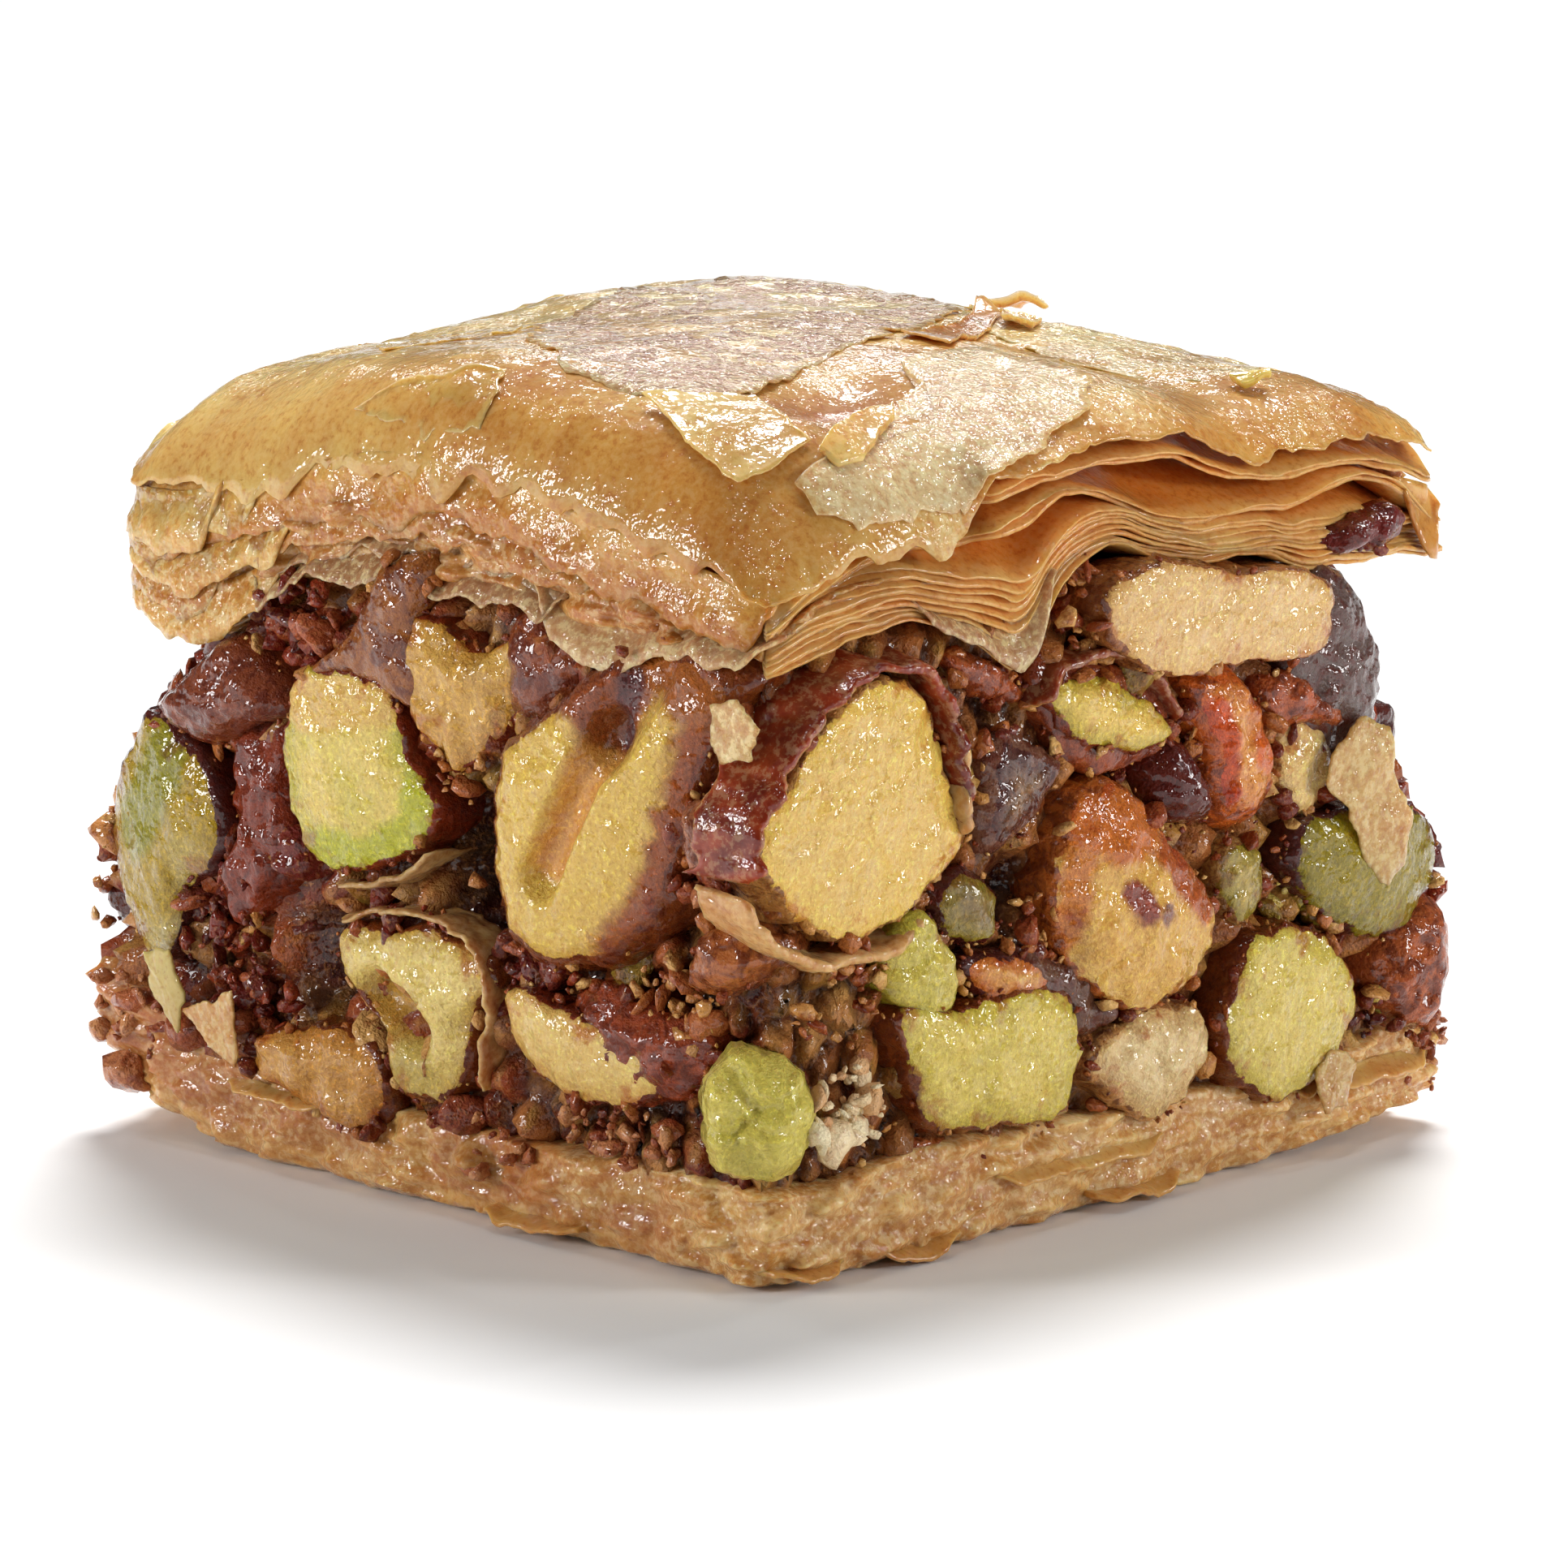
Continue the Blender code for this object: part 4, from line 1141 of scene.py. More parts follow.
def right_nuts(green, gold, dark):
    """The nuts that show on the right face, from front to back."""
    yield nut(gold, "right", ((-23.4, 20.5), (-21.5, 22.8), (-19, 25.5), (-16, 26.8), (-13, 26),
        (-11.6, 22.5), (-10.3, 18.9), (-13, 16.5), (-17, 15.2), (-21, 17)), out=0.7, depth=7, crown=0.3,
        flesh=srgb(228, 192, 122), rim=srgb(232, 196, 100), skin=srgb(206, 158, 100), grain=0.2,
        seed=31, count=140, fronts=18)
    yield nut(dark, "right", ((-8.2, 23.3), (-5.5, 22.4), (-4, 20.9), (-6, 18.6), (-8.9, 18), (-9.5, 19.8)),
        out=0.0, crown=0.5, flesh=srgb(140, 108, 88), rim=PLUM, skin=srgb(118, 80, 68), covered=0.8,
        grain=0.3, seed=34)
    yield nut(green, "right", ((-12, 16.5), (-10.2, 17.4), (-8, 16), (-8.4, 14), (-11, 14.2)), out=0.1,
        crown=0.5, flesh=srgb(132, 112, 80), rim=OLIVE, skin=PLUM, grain=0.3, seed=35)
    yield nut(dark, "right", ((-5.8, 26), (-2, 25.9), (2, 24.2), (4.2, 21.6), (0.1, 20.4), (-3.6, 21.4)),
        out=-0.2, crown=0.5, skin=srgb(150, 72, 38), covered=ALL_SKIN, grain=0.3, seed=36)
    yield nut(gold, "right", ((-5, 24.9), (-1.4, 25), (1.8, 23.4), (3.3, 21.6), (0, 21.2), (-3.5, 22.6)),
        out=0.7, crown=0.35, lean=(0, -0.1), flesh=srgb(230, 196, 112), rim=srgb(180, 162, 52), skin=RUST,
        seed=37)
    yield nut(gold, "right", ((-1.4, 28.4), (2, 29.6), (7.3, 28.6), (12.5, 27.9), (14.6, 26), (13.2, 23.9),
        (8, 24.2), (3, 24.2), (-0.5, 26.2)), out=2.0, depth=6, crown=0.12, flesh=srgb(226, 190, 142),
        rim=srgb(210, 168, 112), skin=srgb(168, 108, 62), grain=0.12, seed=38, count=150, fronts=15)
    yield nut(dark, "right", ((14, 28.8), (15.4, 29.9), (18, 30.4), (19.6, 29.8), (19, 28.5), (16.4, 28)),
        out=0.5, depth=1.5, crown=0.5, skin=srgb(112, 36, 36), covered=ALL_SKIN, grain=0.8, seed=51)
    yield nut(dark, "right", ((13.2, 27.4), (15.2, 27.6), (17, 25.4), (18, 22.8), (17.8, 19.6), (16, 18.6),
        (12.4, 20.6), (11.4, 24.2)), out=0.6, depth=5, crown=0.6, skin=SLATE, covered=ALL_SKIN, grain=0.4, seed=39)
    yield nut(dark, "right", ((3.9, 21.6), (5.5, 20.3), (6.6, 17.7), (5.5, 16.8), (2.6, 17.8), (1.6, 20.1)),
        out=-0.2, crown=1.0, edge=1.2, skin=srgb(84, 22, 14), covered=ALL_SKIN, grain=0.4, seed=40)
    yield nut(dark, "right", ((4.9, 24.1), (7.6, 24.2), (10, 21.6), (11, 18.5), (9.5, 16.3), (6.9, 16.8),
        (5.4, 20.8)), out=0.7, depth=6, crown=0.9, edge=1.0, flesh=srgb(222, 156, 92), rim=ORANGE,
        skin=srgb(196, 96, 36), covered=0.8, spots=((((6, 22), (6.6, 18)), 1.0, srgb(190, 78, 30)),
        (((9.6, 20),), 1.1, srgb(200, 96, 36))), grain=0.5, seed=41)
    yield nut(dark, "right", ((9.8, 23.2), (12.6, 23.1), (16, 20.6), (13.5, 20.2), (10.2, 21.2)), out=0.4,
        crown=0.6, skin=srgb(178, 90, 50), covered=ALL_SKIN, grain=0.5, seed=42)
    yield nut(gold, "right", ((11, 20.8), (14.4, 20.6), (14.3, 17.5), (12.5, 16.3), (10.8, 18)), out=0.2,
        crown=0.3, flesh=srgb(222, 192, 132), rim=TAN, skin=srgb(190, 140, 84), grain=0.3, seed=43)
    yield nut(green, "right", ((12.4, 15.8), (16, 16.3), (20, 15.8), (22.4, 13.6), (21.4, 10.6), (18.5, 9.5),
        (14.6, 11), (12, 13.6)), out=0.9, depth=6, crown=0.8, lean=(-0.04, 0), flesh=srgb(146, 130, 26),
        rim=srgb(122, 112, 16), skin=PLUM, covered=-0.1, seed=44, count=120, fronts=14)
    yield nut(dark, "right", ((19.4, 10.2), (22, 11.2), (23.5, 8.8), (22.4, 4.8), (20.4, 4.6), (18, 7.4)),
        out=0.6, depth=6, crown=1.0, edge=1.2, skin=srgb(176, 92, 50), covered=ALL_SKIN, grain=0.35, seed=45)
    yield nut(green, "right", ((9.1, 11), (12, 11.2), (15, 9.6), (16.5, 7.2), (15, 4.5), (11.6, 2.9),
        (8.1, 4.5), (7, 7.2)), out=1.2, depth=6, crown=0.4, flesh=srgb(222, 200, 118),
        rim=srgb(196, 180, 84), skin=BROWN, seed=46, count=120, fronts=16)
    yield nut(gold, "right", ((-2.6, 19), (0.1, 19.8), (3, 17.2), (6.3, 13.6), (6.6, 11.4), (4.4, 9.3),
        (0.6, 9), (-2.8, 11.6), (-4, 15.5)), out=0.9, depth=6, crown=1.0, lean=(0, -0.05),
        flesh=srgb(222, 174, 98), rim=srgb(212, 170, 94), skin=srgb(186, 104, 46),
        dents=((((1.2, 16),), 1.0, 0.5), (((-3.4, 14), (-2.6, 11)), 0.8, 0.4)),
        spots=((((-1.8, 18.6), (1.4, 18)), 2.1, srgb(190, 106, 42)), (((0.2, 14.8), (1.0, 13.8)), 0.7, srgb(134, 60, 46)),
               (((2.4, 13.4),), 0.6, srgb(118, 64, 66)), (((3.2, 16), (5.6, 13.4)), 1.0, srgb(170, 86, 42)),
               (((-2.6, 16.4), (-3.4, 13)), 0.8, srgb(196, 122, 56))),
        grain=0.3, seed=47, count=120, fronts=18)
    yield nut(green, "right", ((6.9, 15.9), (9.4, 15.4), (9.7, 12.8), (8, 11.7), (6.7, 14)), out=0.2,
        crown=0.4, flesh=srgb(190, 168, 106), rim=OLIVE, skin=srgb(170, 130, 78), grain=0.3, seed=48)
    yield nut(green, "right", ((-14.4, 11.6), (-10.7, 11.1), (-7, 11.4), (-3.4, 10.6), (-2.4, 7.5),
        (-4, 4.9), (-8, 5.2), (-12, 5.8), (-13.4, 8.4)), out=1.2, depth=6, crown=0.35,
        flesh=srgb(226, 204, 116), rim=srgb(190, 174, 68), skin=BROWN, grain=0.2, seed=49, count=150,
        fronts=22)
    yield nut(green, "right", ((-14, 15.7), (-12, 15.3), (-10.4, 11.8), (-12.5, 10.8), (-15.2, 13)), out=0.6,
        crown=0.5, flesh=srgb(206, 190, 98), rim=srgb(164, 158, 50), skin=OLIVE, covered=-1, grain=0.4,
        seed=50)
    yield nut(gold, "right", ((-1.9, 7.2), (1.5, 8.9), (5.5, 8.4), (6.5, 6.1), (3.5, 3.6), (0.6, 4.2)),
        out=0.8, crown=0.5, flesh=srgb(236, 214, 180), rim=srgb(214, 178, 130), skin=srgb(200, 150, 100),
        grain=0.5, seed=51)
    yield nut(gold, "right", ((-10.4, 13), (-7, 13.2), (-4.3, 11.4), (-8, 10.6)), out=0.4, crown=0.4,
        flesh=srgb(222, 172, 112), rim=ORANGE, skin=PLUM, covered=0.3, grain=0.4, seed=52)
    yield nut(dark, "right", ((-6.8, 13.4), (-2.5, 11.4), (0.1, 9.2), (-2.5, 8.2), (-5, 10.6)), out=0.3,
        crown=0.3, skin=srgb(104, 70, 58), covered=ALL_SKIN, grain=0.5, seed=53)
    yield nut(dark, "right", ((-11.6, 27.4), (-8.5, 26.8), (-6, 24.6), (-9.2, 25.2)), out=-0.9, depth=4,
        crown=0.3, skin=srgb(160, 78, 38), covered=ALL_SKIN, grain=0.3, seed=54)


def nut_shells(heap):
    """Husks round the nuts and scraps of leaf stuck to them."""
    pink = (srgb(158, 66, 36), srgb(112, 34, 18))
    tan = (srgb(206, 158, 106), srgb(224, 190, 144))
    husk(heap, "right", ((-24, 18.6), (-23.8, 21.5), (-21.5, 24.6), (-19.3, 26.8), (-16, 27.9), (-13.2, 27.5),
                         (-11.4, 26), (-10.6, 23.4), (-9.7, 21), (-9.7, 19)), 1.7, 3.5, 0.55, pink, 32, 0.6, lean=-0.5)
    husk(heap, "right", ((-24, 18.5), (-23, 16.6), (-20.5, 15.2), (-17.5, 14.6), (-15, 14.8), (-12.8, 15.9)),
         1.3, 3.2, 0.6, tan, 33, 0.6, lean=-0.3)
    husk(heap, "right", ((-10, 18.6), (-10.6, 20), (-10.4, 22), (-11, 24)), 1.5, 2.5, 0.5, tan, 34)
    husk(heap, "front", ((-5.6, 14.3), (-3, 14.5), (-0.5, 15.4), (1.6, 16.9)), 0.9, 2.2, 0.3,
         (srgb(170, 136, 92), srgb(196, 166, 122)), 21, 0.4)
    husk(heap, "front", ((-5.0, 12.8), (-1.7, 13.6), (1.6, 13.8), (4.2, 13), (5.3, 11.4), (5, 9), (4.4, 6)),
         0.8, 2.2, 0.3, (srgb(176, 134, 92), srgb(206, 172, 126)), 22, 0.5)
    husk(heap, "right", ((-5.6, 24), (-4, 26), (-1, 26), (2, 24.7), (4, 22)), 1.0, 2.0, 0.4,
         (srgb(150, 76, 44), srgb(120, 50, 34)), 35)
    scrap = srgb(202, 166, 112)
    free_flake(heap, "right", ((14.4, 19.6), (16.3, 20.6), (17.9, 19.8), (18.3, 17.8), (19.6, 15.5), (19.2, 13),
                               (18.2, 12.1), (16.8, 13.2), (15.2, 16), (13.8, 17.6)), 1.9, scrap, (0.06, 0.05), seed=61)
    free_flake(heap, "right", ((13, 3.8), (14.5, 4.8), (16.2, 4), (15.4, 2), (13.6, 2)), 1.5, scrap, (0, -0.1), seed=62)
    free_flake(heap, "front", ((-15.8, 6.5), (-11.9, 8.3), (-12.3, 4.4), (-14, 5.1)), 1.2, srgb(214, 164, 106),
               (0, 0.1), seed=63)
    free_flake(heap, "front", ((-18.4, 9), (-16.4, 9.6), (-15.6, 7), (-16.4, 5.4), (-18, 7.4)), 1.2,
               srgb(206, 188, 128), (0, 0.1), seed=64, crackle=0.1)
    free_flake(heap, "front", ((19.6, 26.2), (21.2, 26.8), (22.6, 25.6), (22, 24), (20.2, 23.6), (19.4, 24.6)),
               0.9, srgb(206, 172, 130), seed=65, crackle=1.0)


def other_nuts(green, gold, dark, side, random):
    """Nuts of the same kinds over a face that needs no set arrangement."""
    kinds = (
        (green, srgb(218, 196, 112), srgb(174, 164, 58), RUST, 0.0),
        (green, srgb(166, 148, 58), OLIVE, PLUM, 0.0),
        (gold, PALE, srgb(210, 168, 98), RUST, 0.0),
        (gold, srgb(218, 184, 104), srgb(200, 162, 74), BROWN, 0.1),
        (dark, RUST, RUST, srgb(134, 58, 34), ALL_SKIN),
        (gold, srgb(224, 188, 136), srgb(206, 162, 108), BROWN, 0.1),
        (dark, ORANGE, RUST, srgb(178, 92, 46), ALL_SKIN),
        (dark, PLUM, PLUM, srgb(104, 54, 48), ALL_SKIN),
    )
    taken = []
    for _ in range(1200):
        size = random.uniform(3.4, 5.2) if len(taken) < 9 else random.uniform(1.5, 3.2)
        along, up = random.uniform(-19.5, 19.5), random.uniform(7.5, 25.5)
        if any(math.hypot(along - a, (up - b) * 1.1) < 0.88 * (size + s) for a, b, s in taken):
            continue
        if drawn_back(*on_side(side, along, up + 0.5 * size, 0)) > 0.3:
            continue
        taken.append((along, up, size))
        tall = random.uniform(0.85, 1.35)
        spin = random.uniform(0, math.pi)
        corners = []
        for angle in np.linspace(0, 2 * math.pi, 9, endpoint=False):
            reach = size * random.uniform(0.82, 1.15)
            across, high = reach * math.cos(angle) / tall**0.5, reach * math.sin(angle) * tall**0.5
            corners.append((along + across * math.cos(spin) - high * math.sin(spin),
                            np.clip(up + across * math.sin(spin) + high * math.cos(spin), 4.0, 28.2)))
        heap, flesh, rim, skin, covered = kinds[int(random.integers(len(kinds)))]
        small = size < 3.3
        yield nut(heap, side, corners, out=random.uniform(0.0, 1.0), crown=random.uniform(0.3, 0.9),
                  lean=(random.uniform(-0.1, 0.1), random.uniform(-0.1, 0.1)), edge=0.5, flesh=flesh,
                  rim=rim, skin=skin, covered=covered, grain=0.45 if covered > 1 else random.uniform(0.1, 0.3),
                  seed=int(random.integers(1, 900)), count=48 if small else 72, fronts=6 if small else 9,
                  backs=4)


# ---------------------------------------------------------------- chopped mass, base and crumbs

MASS_VALUES = {"tint": RUST, "gloss": 0.8}
MASS_COLOURS = np.array([
    srgb(112, 36, 28), RUST, srgb(134, 48, 28), srgb(170, 92, 52), srgb(150, 72, 40), BROWN, srgb(96, 38, 34),
    srgb(120, 46, 36), srgb(190, 130, 80), srgb(210, 164, 108), srgb(160, 84, 40), srgb(150, 122, 50),
])
DOUGH_COLOURS = np.array([
    srgb(226, 178, 112), srgb(236, 196, 136), srgb(216, 164, 98), srgb(242, 210, 158), srgb(222, 172, 108),
])
WHITE_CRUMBS = (srgb(252, 236, 216), srgb(246, 224, 200), srgb(255, 246, 230), srgb(226, 184, 150))
TAN_CRUMBS = (srgb(196, 134, 80), srgb(216, 168, 110), srgb(176, 100, 58), srgb(206, 150, 92), srgb(150, 70, 40))
GREEN_CRUMBS = (srgb(186, 176, 72), srgb(206, 188, 104), srgb(160, 148, 52), srgb(206, 160, 96))
RED_CRUMBS = (srgb(120, 36, 24), srgb(150, 58, 34), srgb(96, 24, 20), srgb(170, 88, 56), srgb(112, 44, 36))
PINK_CRUMBS = (srgb(190, 122, 88), srgb(176, 100, 68), srgb(206, 146, 108), srgb(150, 74, 50))
JAM_CRUMBS = (srgb(92, 30, 30), srgb(122, 42, 34), srgb(60, 20, 22))
# Crumbs that lie close together: side, (along, up), (how wide, how high), size, number, colours.
CLUSTERS = (
    ("right", (-17.9, 7.8), (2.5, 1.9), 0.7, 54, WHITE_CRUMBS, 0.8),
    ("front", (17.6, 12.0), (3.2, 2.8), 0.6, 60, TAN_CRUMBS),
    ("front", (18.8, 19.4), (1.8, 2.4), 0.6, 34, PINK_CRUMBS),
    ("right", (-17.5, 13), (4.0, 2.4), 0.5, 60, TAN_CRUMBS),
    ("right", (-13.5, 14.8), (2.0, 2.0), 0.45, 30, GREEN_CRUMBS),
    ("right", (13.4, 12.6), (3.4, 2.6), 0.5, 60, GREEN_CRUMBS),
    ("right", (12.6, 15.6), (2.4, 2.2), 0.45, 34, TAN_CRUMBS),
    ("right", (17.7, 7.6), (1.2, 1.4), 0.5, 14, GREEN_CRUMBS),
    ("right", (16.8, 6.2), (1.4, 1.6), 0.5, 14, JAM_CRUMBS),
    ("right", (21.6, 3.6), (1.8, 2.2), 0.6, 24, PINK_CRUMBS),
    ("right", (-2.6, 28.4), (2.2, 2.2), 0.6, 46, TAN_CRUMBS),
    ("right", (11.4, 21.6), (4.0, 1.6), 0.5, 44, TAN_CRUMBS),
    ("right", (16.6, 29.2), (2.6, 0.8), 0.5, 24, JAM_CRUMBS),
    ("right", (-8.5, 21.8), (2.4, 2.0), 0.5, 30, RED_CRUMBS),
    ("right", (-5.5, 13.6), (3.0, 2.4), 0.5, 44, TAN_CRUMBS),
    ("front", (-13.4, 11.6), (3.4, 3.4), 0.6, 64, RED_CRUMBS),
    ("front", (-10.6, 7.8), (3.0, 2.0), 0.6, 40, RED_CRUMBS),
    ("front", (-19.6, 5.8), (3.0, 2.4), 0.8, 36, PINK_CRUMBS),
    ("front", (-6.5, 26.4), (3.4, 2.0), 0.7, 44, RED_CRUMBS),
    ("front", (3.4, 21), (1.6, 1.6), 0.45, 22, TAN_CRUMBS),
    ("front", (0.8, 12.6), (3.2, 1.6), 0.5, 40, RED_CRUMBS),
    ("front", (8.4, 12.4), (3.4, 1.4), 0.55, 40, RED_CRUMBS),
    ("front", (13.6, 6.0), (4.0, 1.4), 0.6, 40, PINK_CRUMBS),
    ("front", (4.4, 4.0), (4.0, 1.6), 0.7, 26, PINK_CRUMBS),
    ("front", (-17, 22.4), (2.0, 2.6), 0.6, 40, RED_CRUMBS),
    ("back", (-21.4, 15), (1.4, 9.0), 0.9, 26, RED_CRUMBS),
    ("back", (21.4, 15), (1.4, 9.0), 0.9, 26, RED_CRUMBS),
    ("left", (-21.4, 15), (1.4, 9.0), 0.9, 26, TAN_CRUMBS),
    ("left", (21.4, 15), (1.4, 9.0), 0.9, 26, TAN_CRUMBS),
)
# Hollows between the nuts, darkened by painted shade in chopped_core: side, along, up, reach and depth.
HOLLOWS = (
    ("front", -6.6, 10.6, 2.0, 4.0), ("front", 3.2, 18.5, 1.6, 3.0), ("front", 3.0, 15.5, 1.8, 3.0),
    ("front", 17.2, 16.8, 1.3, 3.5),
    ("front", -9.0, 23.0, 1.5, 1.5), ("front", 18.5, 12.5, 1.3, 2.2), ("right", 4.6, 19.0, 1.2, 2.0),
    ("right", -1.0, 20.5, 1.3, 2.0), ("right", -6.5, 15.5, 1.5, 1.6), ("right", -8.0, 24.5, 1.4, 1.5),
    ("front", 4.5, 12.8, 1.4, 2.4), ("front", -14.8, 22.5, 2.5, 2.0), ("right", 18.0, 18.0, 2.0, 1.5),
)


def chopped_core(material):
    """The sticky mass of chopped nuts and syrup behind and between the nuts, with painted shade in its sunken parts."""
    heap = Heap("chopped_core", **MASS_VALUES)
    count, rows = 500, 56
    u, v, side, place = around(count)
    x, y = drawn_in(u, v)
    t = np.linspace(0, 1, rows)[:, None]
    z = 3.2 + t * 27.0 + 0 * u
    big, number = chunks(x, y, z, 2.2, 101)
    small, detail = chunks(x, y, z, 0.8, 102)
    out = -1.5 + 1.2 * smooth(big / 0.6) + 0.45 * smooth(small / 0.6)
    out = out + 0.7 * rough(x, y, z, 5.0, 103, 2) + 0.14 * rough(x, y, z, 0.6, 104, 2)
    names = ("front", "right", "back", "left")
    run = 2 * HALF * (place - side) - HALF
    for name, along, up, reach, depth in HOLLOWS:
        near = np.exp(-((run - along) ** 2 + (z - up) ** 2) / reach**2)
        out = out - depth * near * (side == names.index(name))
    out = out + 1.9 * (u * u * v * v) ** 4 * (u < 0) * (1 - smooth((t - 0.4) / 0.3))
    out = out - drawn_back(HALF * u, HALF * v, z)
    out = out - 3.0 * smooth((t - 0.92) / 0.08) - 1.5 * smooth((0.05 - t) / 0.05)
    colours = MASS_COLOURS[(number >> np.uint32(4)) % np.uint32(len(MASS_COLOURS))]
    specks = MASS_COLOURS[(detail >> np.uint32(7)) % np.uint32(len(MASS_COLOURS))]
    colours = blend(0.45 + 0 * z, colours, specks)
    colours = blend(0.25 * (side == 1) + 0 * z, colours, srgb(206, 158, 92))
    # Painted shade: the deeper the surface lies, the darker it is painted, near black in the hollows.
    depth = smooth((-out - 0.9) / 1.8)
    colours = blend(0.9 * depth, colours, srgb(40, 14, 12))
    # Painted shade in the sunken gaps between the chunks.
    colours = blend(0.8 * (1 - smooth(big / 0.3)), colours, srgb(70, 22, 16))
    wall(heap, z, -out, count, tint=colours, gloss=0.5 + 0.5 * depth)
    heap.build(material, "nut_filling")


BASE_TOP = (
    ((-23, 8.6), (-20, 7.2), (-16, 5.6), (-11, 4.6), (0, 4.4), (10, 4.4), (18, 5.0), (23, 4.8)),
    ((-23, 4.8), (-20, 4.4), (-13, 5.4), (-3, 4.8), (7, 4.6), (18, 4.8), (23, 6.4)),
    ((-23, 5.2), (-10, 5.6), (0, 4.6), (12, 5.2), (23, 6.4)),
    ((-23, 8.6), (-18, 6.2), (-8, 4.8), (5, 5.4), (15, 4.6), (23, 5.2)),
)
BASE_UNDER = (
    ((-23, 3.2), (-20, 1.6), (-16, 0.5), (-12, 0.1), (23, 0.2)),
    ((-23, 0.2), (10, 0.1), (17, 0.5), (23, 1.3)),
    ((-23, 1.0), (-15, 0.3), (15, 0.3), (23, 1.3)),
    ((-23, 3.2), (-19, 1.0), (-12, 0.2), (15, 0.2), (23, 1.0)),
)


def soaked_base(material):
    """The fused, soaked leaves of the base, with chopped nuts and glaze stuck to its left front."""
    heap = Heap("soaked_base", **LEAF_VALUES)
    count, rows = 640, 30
    u, v, side, place = around(count)
    x, y = drawn_in(u, v)
    t = np.linspace(0, 1, rows)[:, None]
    low, high = (along_edges(u, v, side, lines) for lines in (BASE_UNDER, BASE_TOP))
    z = low + (high - low) * t
    warp = 0.5 * noise(x, y, z, 4.0, 111)
    shreds, number = chunks(0.6 * x, 0.6 * y, 1.5 * (z + warp), 1.7, 112)
    fine, detail = chunks(0.6 * x, 0.6 * y, 1.6 * (z + warp), 0.7, 113)
    glazed = smooth((-y - 18) / 5) * smooth((19 - x) / 4) * smooth(0.75 + 1.2 * noise(x, y, z, 5.0, 114))
    glazed = np.maximum(glazed, smooth((u * u * v * v - 0.5) / 0.3) * (u < 0) * (v < 0))
    shredded = 0.65 - 0.5 * glazed
    out = -0.95 + shredded * smooth(shreds / 0.8) + 0.2 * smooth(fine / 0.8) + 0.45 * rough(x, y, z, 3.4, 115, 3)
    out = out + 0.2 * noise(0.25 * x, 0.25 * y, z + warp, 0.5, 117)
    out = out + 1.9 * (u * u * v * v) ** 4 * (u < 0) * (v < 0)
    out = out + 0.7 * np.sqrt(np.clip(1 - (2 * t - 1) ** 2, 0, 1)) - 2.0 * smooth((t - 0.94) / 0.06)
    nut_bits, bit_number = chunks(0.8 * x, 0.8 * y, z, 2.1, 116)
    out = out + glazed * (0.7 * smooth(nut_bits / 0.9) - 0.3)
    colours = DOUGH_COLOURS[(number >> np.uint32(5)) % np.uint32(len(DOUGH_COLOURS))]
    specks = DOUGH_COLOURS[(detail >> np.uint32(6)) % np.uint32(len(DOUGH_COLOURS))]
    colours = blend(0.4 + 0 * z, colours, specks)
    # Painted shade: darker brown in the sunken gaps between the shreds.
    colours = blend(0.35 * (1 - smooth(shreds / 0.3)), colours, srgb(176, 112, 60))
    bits = MASS_COLOURS[(bit_number >> np.uint32(3)) % np.uint32(len(MASS_COLOURS))]
    bits = blend(0.5 + 0 * z, bits, srgb(226, 162, 106))
    low_dough = smooth((t - 0.12) / 0.25)
    colours = blend(0.85 * glazed * low_dough, colours, bits)
    wall(heap, z, -out, count, tint=colours, crackle=0.7 - 0.4 * glazed)
    heap.build(material, "pastry_base")


def base_leaves(leaf_material):
    """Ragged leaf edges along the base."""
    heap = Heap("base_leaves", **LEAF_VALUES)
    tan = (srgb(232, 190, 128), srgb(226, 178, 114))
    for index in range(5):
        random = np.random.default_rng(700 + index)
        side = ("front", "right", "back", "left", "right")[index % 5]
        start = random.uniform(-22, 14)
        end = min(start + random.uniform(5, 12), 22)
        low = line(0.5 * (start + end), BASE_UNDER[("front", "right", "back", "left").index(side)])
        top = low + random.uniform(0.7, 4.0)
        bottom = top - random.uniform(0.4, 0.8)
        skirt(heap, side, start, end, ((-23, top), (23, top)), ((-23, bottom), (23, bottom)),
              (-0.5, random.uniform(0.3, 0.5)), tan, 0.5, 20 + index, 0.2, 9)
    for side, start, end in (("front", 5, 11), ("right", -16, -11), ("right", -22.6, -18), ("right", -2, 4),
                             ("back", -12, 4), ("left", -6, 9)):
        skirt(heap, side, start, end, ((-23, 1.0), (23, 1.0)), ((-23, 0.5), (23, 0.5)), (-0.8, 0.6),
              (srgb(228, 184, 118), srgb(218, 166, 100)), 0.6, int(start + 60), 0.25, 9)
    heap.build(leaf_material, "pastry_base")


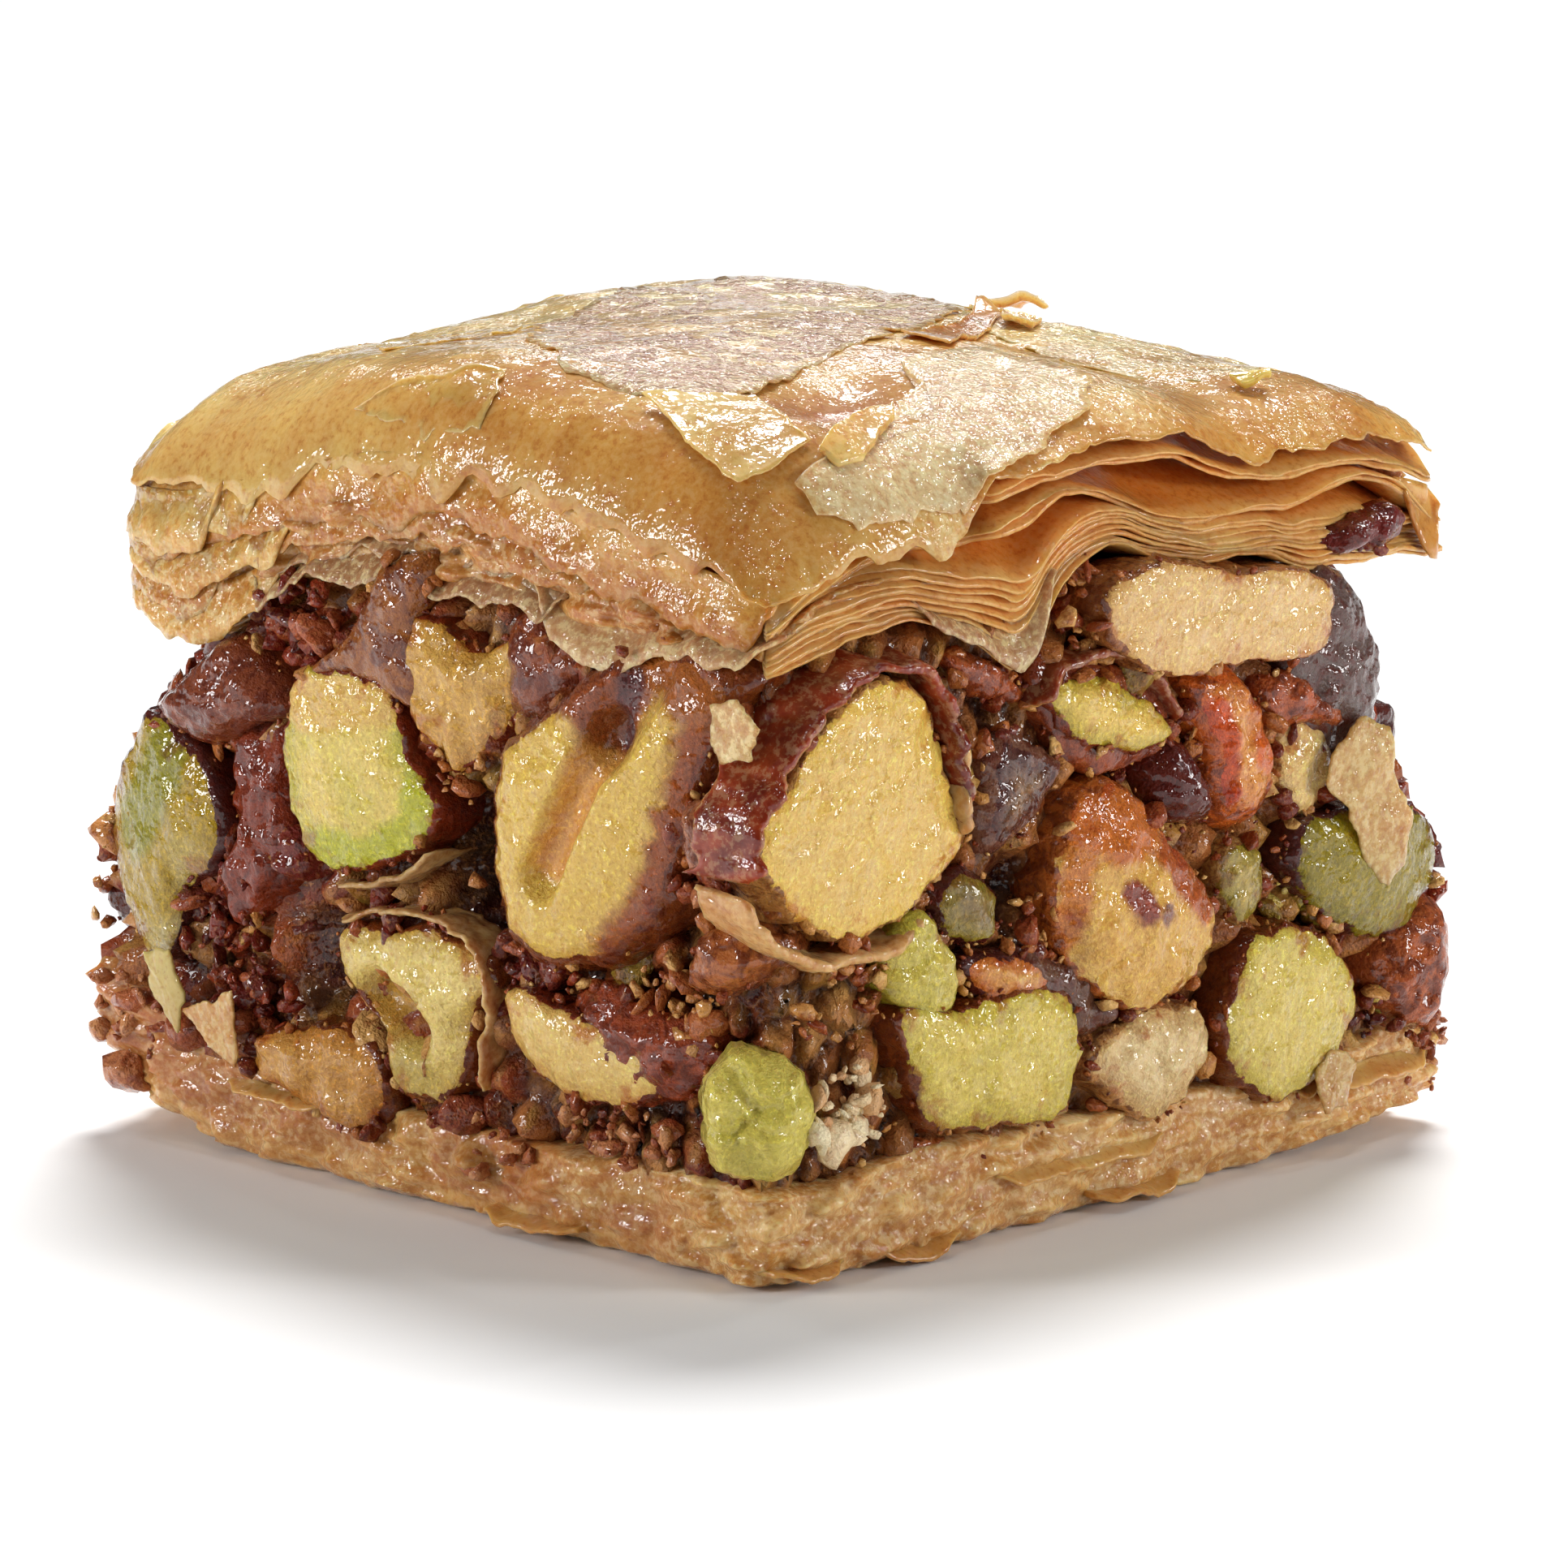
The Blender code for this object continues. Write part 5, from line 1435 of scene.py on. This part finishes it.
def crumbs(material, edges):
    """Bits and crumbs stuck between and around the nuts."""
    random = np.random.default_rng(11)
    bits = Heap("chopped_bits", **MASS_VALUES)
    fine = Heap("crumbs", **MASS_VALUES)
    sides = ("front", "right", "back", "left")
    for _ in range(330):
        side = sides[int(random.integers(4))]
        along, up = random.uniform(-22, 22), random.uniform(4.5, 27)
        tint = MASS_COLOURS[int(random.integers(len(MASS_COLOURS)))]
        size = 0.6 * 3.2 ** (random.uniform() ** 1.5)
        spot = on_side(side, along, up, random.uniform(-1.5, -0.3) - 0.3 * size, drawn=True)
        spot[:2] *= 1 - 1.2 * drawn_back(*spot) / HALF
        bit(bits, spot, size, tint, random, 3 if size > 1.25 else 2, 0.8)
    pale = (srgb(206, 150, 88), srgb(222, 180, 120), srgb(180, 108, 58), srgb(150, 70, 36), srgb(130, 52, 28),
            srgb(112, 42, 26))
    for side, curve, out in edges:
        middle = curve.mean(axis=0)
        for spot in random.integers(len(curve), size=24):
            along, up = middle + (curve[spot] - middle) * random.normal(1.0, 0.03)
            size = 0.14 * 5 ** (random.uniform() ** 2)
            tint = pale[int(random.integers(len(pale)))]
            place = on_side(side, along, up, out - random.uniform(0.0, 0.6))
            if abs(along) < 21.8 and drawn_back(*place) < 0.1:
                bit(fine, place, size, tint, random, 2 if size > 0.34 else 1, 0.7)
    for _ in range(420):
        side = sides[int(random.integers(4))]
        along, up = random.uniform(-22.3, 22.3), random.uniform(3.5, 27.5)
        tint = pale[int(random.integers(len(pale)))]
        spot = on_side(side, along, up, random.uniform(-1.3, -0.2), drawn=True)
        spot[:2] *= 1 - 1.2 * drawn_back(*spot) / HALF
        bit(fine, spot, random.uniform(0.12, 0.4), tint, random, 1, 0.7)
    for side, place, spread, size, count, tints, *dry in CLUSTERS:
        for _ in range(count):
            angle, far = random.uniform(0, 2 * math.pi), random.uniform(0, 1) ** 0.6
            along, up = np.add(place, np.array(spread) * (math.cos(angle), math.sin(angle)) * far)
            along = min(max(along, -21.8), 22.5)
            reach = size * (0.35 + 1.3 * random.uniform() ** 3)
            out = random.uniform(-0.8, 0.3) - 0.3 * reach + sum(dry)
            aside, raised = seen(side, out)
            tint = tints[int(random.integers(len(tints)))]
            spot = on_side(side, along + aside, up + raised, out)
            if up < 27:
                spot[:2] *= 1 - 1.2 * drawn_back(*spot) / HALF
            bit(bits, spot, reach, tint, random, 3 if reach > 1.1 else 2, 0.9 - 0.7 * sum(dry))
    bits.build(material, "nut_filling")
    fine.build(material, "nut_filling")


# ---------------------------------------------------------------- stage


def toward(azimuth, elevation):
    """The way from the piece to something at this azimuth and elevation, in degrees."""
    a, e = math.radians(azimuth), math.radians(elevation)
    return Vector((math.sin(a) * math.cos(e), -math.cos(a) * math.cos(e), math.sin(e)))


def add_light(name, kind, way, distance, power, **settings):
    """A light that shines on the piece from this way."""
    data = bpy.data.lights.new(name, kind)
    data.energy = power
    for key, value in settings.items():
        setattr(data, key, value)
    light = bpy.data.objects.new(name, data)
    light.location = (Vector((0, 0, 16)) + way * distance) * MM
    light.rotation_mode = "QUATERNION"
    light.rotation_quaternion = (-way).to_track_quat("-Z", "Y")
    bpy.context.scene.collection.objects.link(light)


def softbox(name, azimuth, elevation, distance, width, height, power):
    add_light(name, "AREA", toward(azimuth, elevation), distance, power,
              shape="RECTANGLE", size=width * MM, size_y=height * MM)


def studio():
    """White floor, soft lights and the camera."""
    scene = bpy.context.scene
    scene.view_settings.view_transform = "Standard"
    world = bpy.data.worlds.new("studio")
    world.use_nodes = True
    background = world.node_tree.nodes["Background"]
    background.inputs["Color"].default_value = (1, 1, 1, 1)
    background.inputs["Strength"].default_value = 0.045
    scene.world = world
    bpy.ops.mesh.primitive_plane_add(size=6.0)
    floor = bpy.context.object
    floor.name = "floor"
    look = Look("floor_white")
    look.shader.inputs["Base Color"].default_value = (0.93, 0.93, 0.93, 1)
    look.shader.inputs["Roughness"].default_value = 0.9
    floor.data.materials.append(look.material)
    add_light("overhead", "SUN", toward(217, 58), 300, 3.1, angle=math.radians(22))
    softbox("behind", 225, 20, 520, 110, 45, 0.13)
    softbox("behind_left", 203, 30, 520, 60, 40, 0.06)
    softbox("behind_right", 247, 30, 520, 60, 40, 0.06)
    softbox("front_left", -28, 16, 380, 75, 90, 0.5)
    softbox("front_right", 119, 16, 380, 75, 90, 0.44)
    softbox("above", 45, 78, 400, 34, 34, 0.08)
    softbox("left_high", -83, 46, 400, 36, 36, 0.08)
    softbox("right_high", 173, 46, 400, 34, 34, 0.05)
    for azimuth, elevation in ((-25, 35), (20, 60), (75, 58), (112, 38), (170, 50), (260, 55)):
        softbox("glint", azimuth, elevation, 340, 12, 12, 0.03)
    for azimuth, elevation in ((-40, 12), (128, 10), (-10, 8), (100, 6)):
        softbox("low_glint", azimuth, elevation, 340, 15, 15, 0.07)
    data = bpy.data.cameras.new("camera")
    data.sensor_width = 36
    data.lens = 193.8
    data.clip_start = 0.01
    camera = bpy.data.objects.new("camera", data)
    way = toward(45, 12)
    aside = Vector((math.cos(math.radians(45)), math.sin(math.radians(45)), 0)) * 0.77
    camera.location = (Vector((0, 0, 16.4)) + aside + way * 400) * MM
    camera.rotation_mode = "QUATERNION"
    camera.rotation_quaternion = (-way).to_track_quat("-Z", "Y")
    scene.collection.objects.link(camera)
    scene.camera = camera


def main():
    studio()
    leaf, nuts, mass = leaf_look(), nut_look(), mass_look()
    top_leaf(leaf)
    lid_leaves(leaf)
    lid_filler(leaf)
    lid_skirts(leaf)
    lid_flakes(leaf)
    green = Heap("green_nuts", **NUT_VALUES)
    gold = Heap("yellow_nuts", **NUT_VALUES)
    dark = Heap("dark_nuts", **NUT_VALUES)
    edges = [("front", *made) for made in front_nuts(green, gold, dark)]
    edges += [("right", *made) for made in right_nuts(green, gold, dark)]
    for number, side in enumerate(("back", "left")):
        random = np.random.default_rng(40 + number)
        edges += [(side, *made) for made in other_nuts(green, gold, dark, side, random)]
    for heap in (green, gold, dark):
        heap.build(nuts, "nut_filling")
    shells = Heap("husks", **LEAF_VALUES)
    nut_shells(shells)
    shells.build(leaf, "nut_filling")
    chopped_core(mass)
    crumbs(mass, edges)
    soaked_base(leaf)
    base_leaves(leaf)


main()
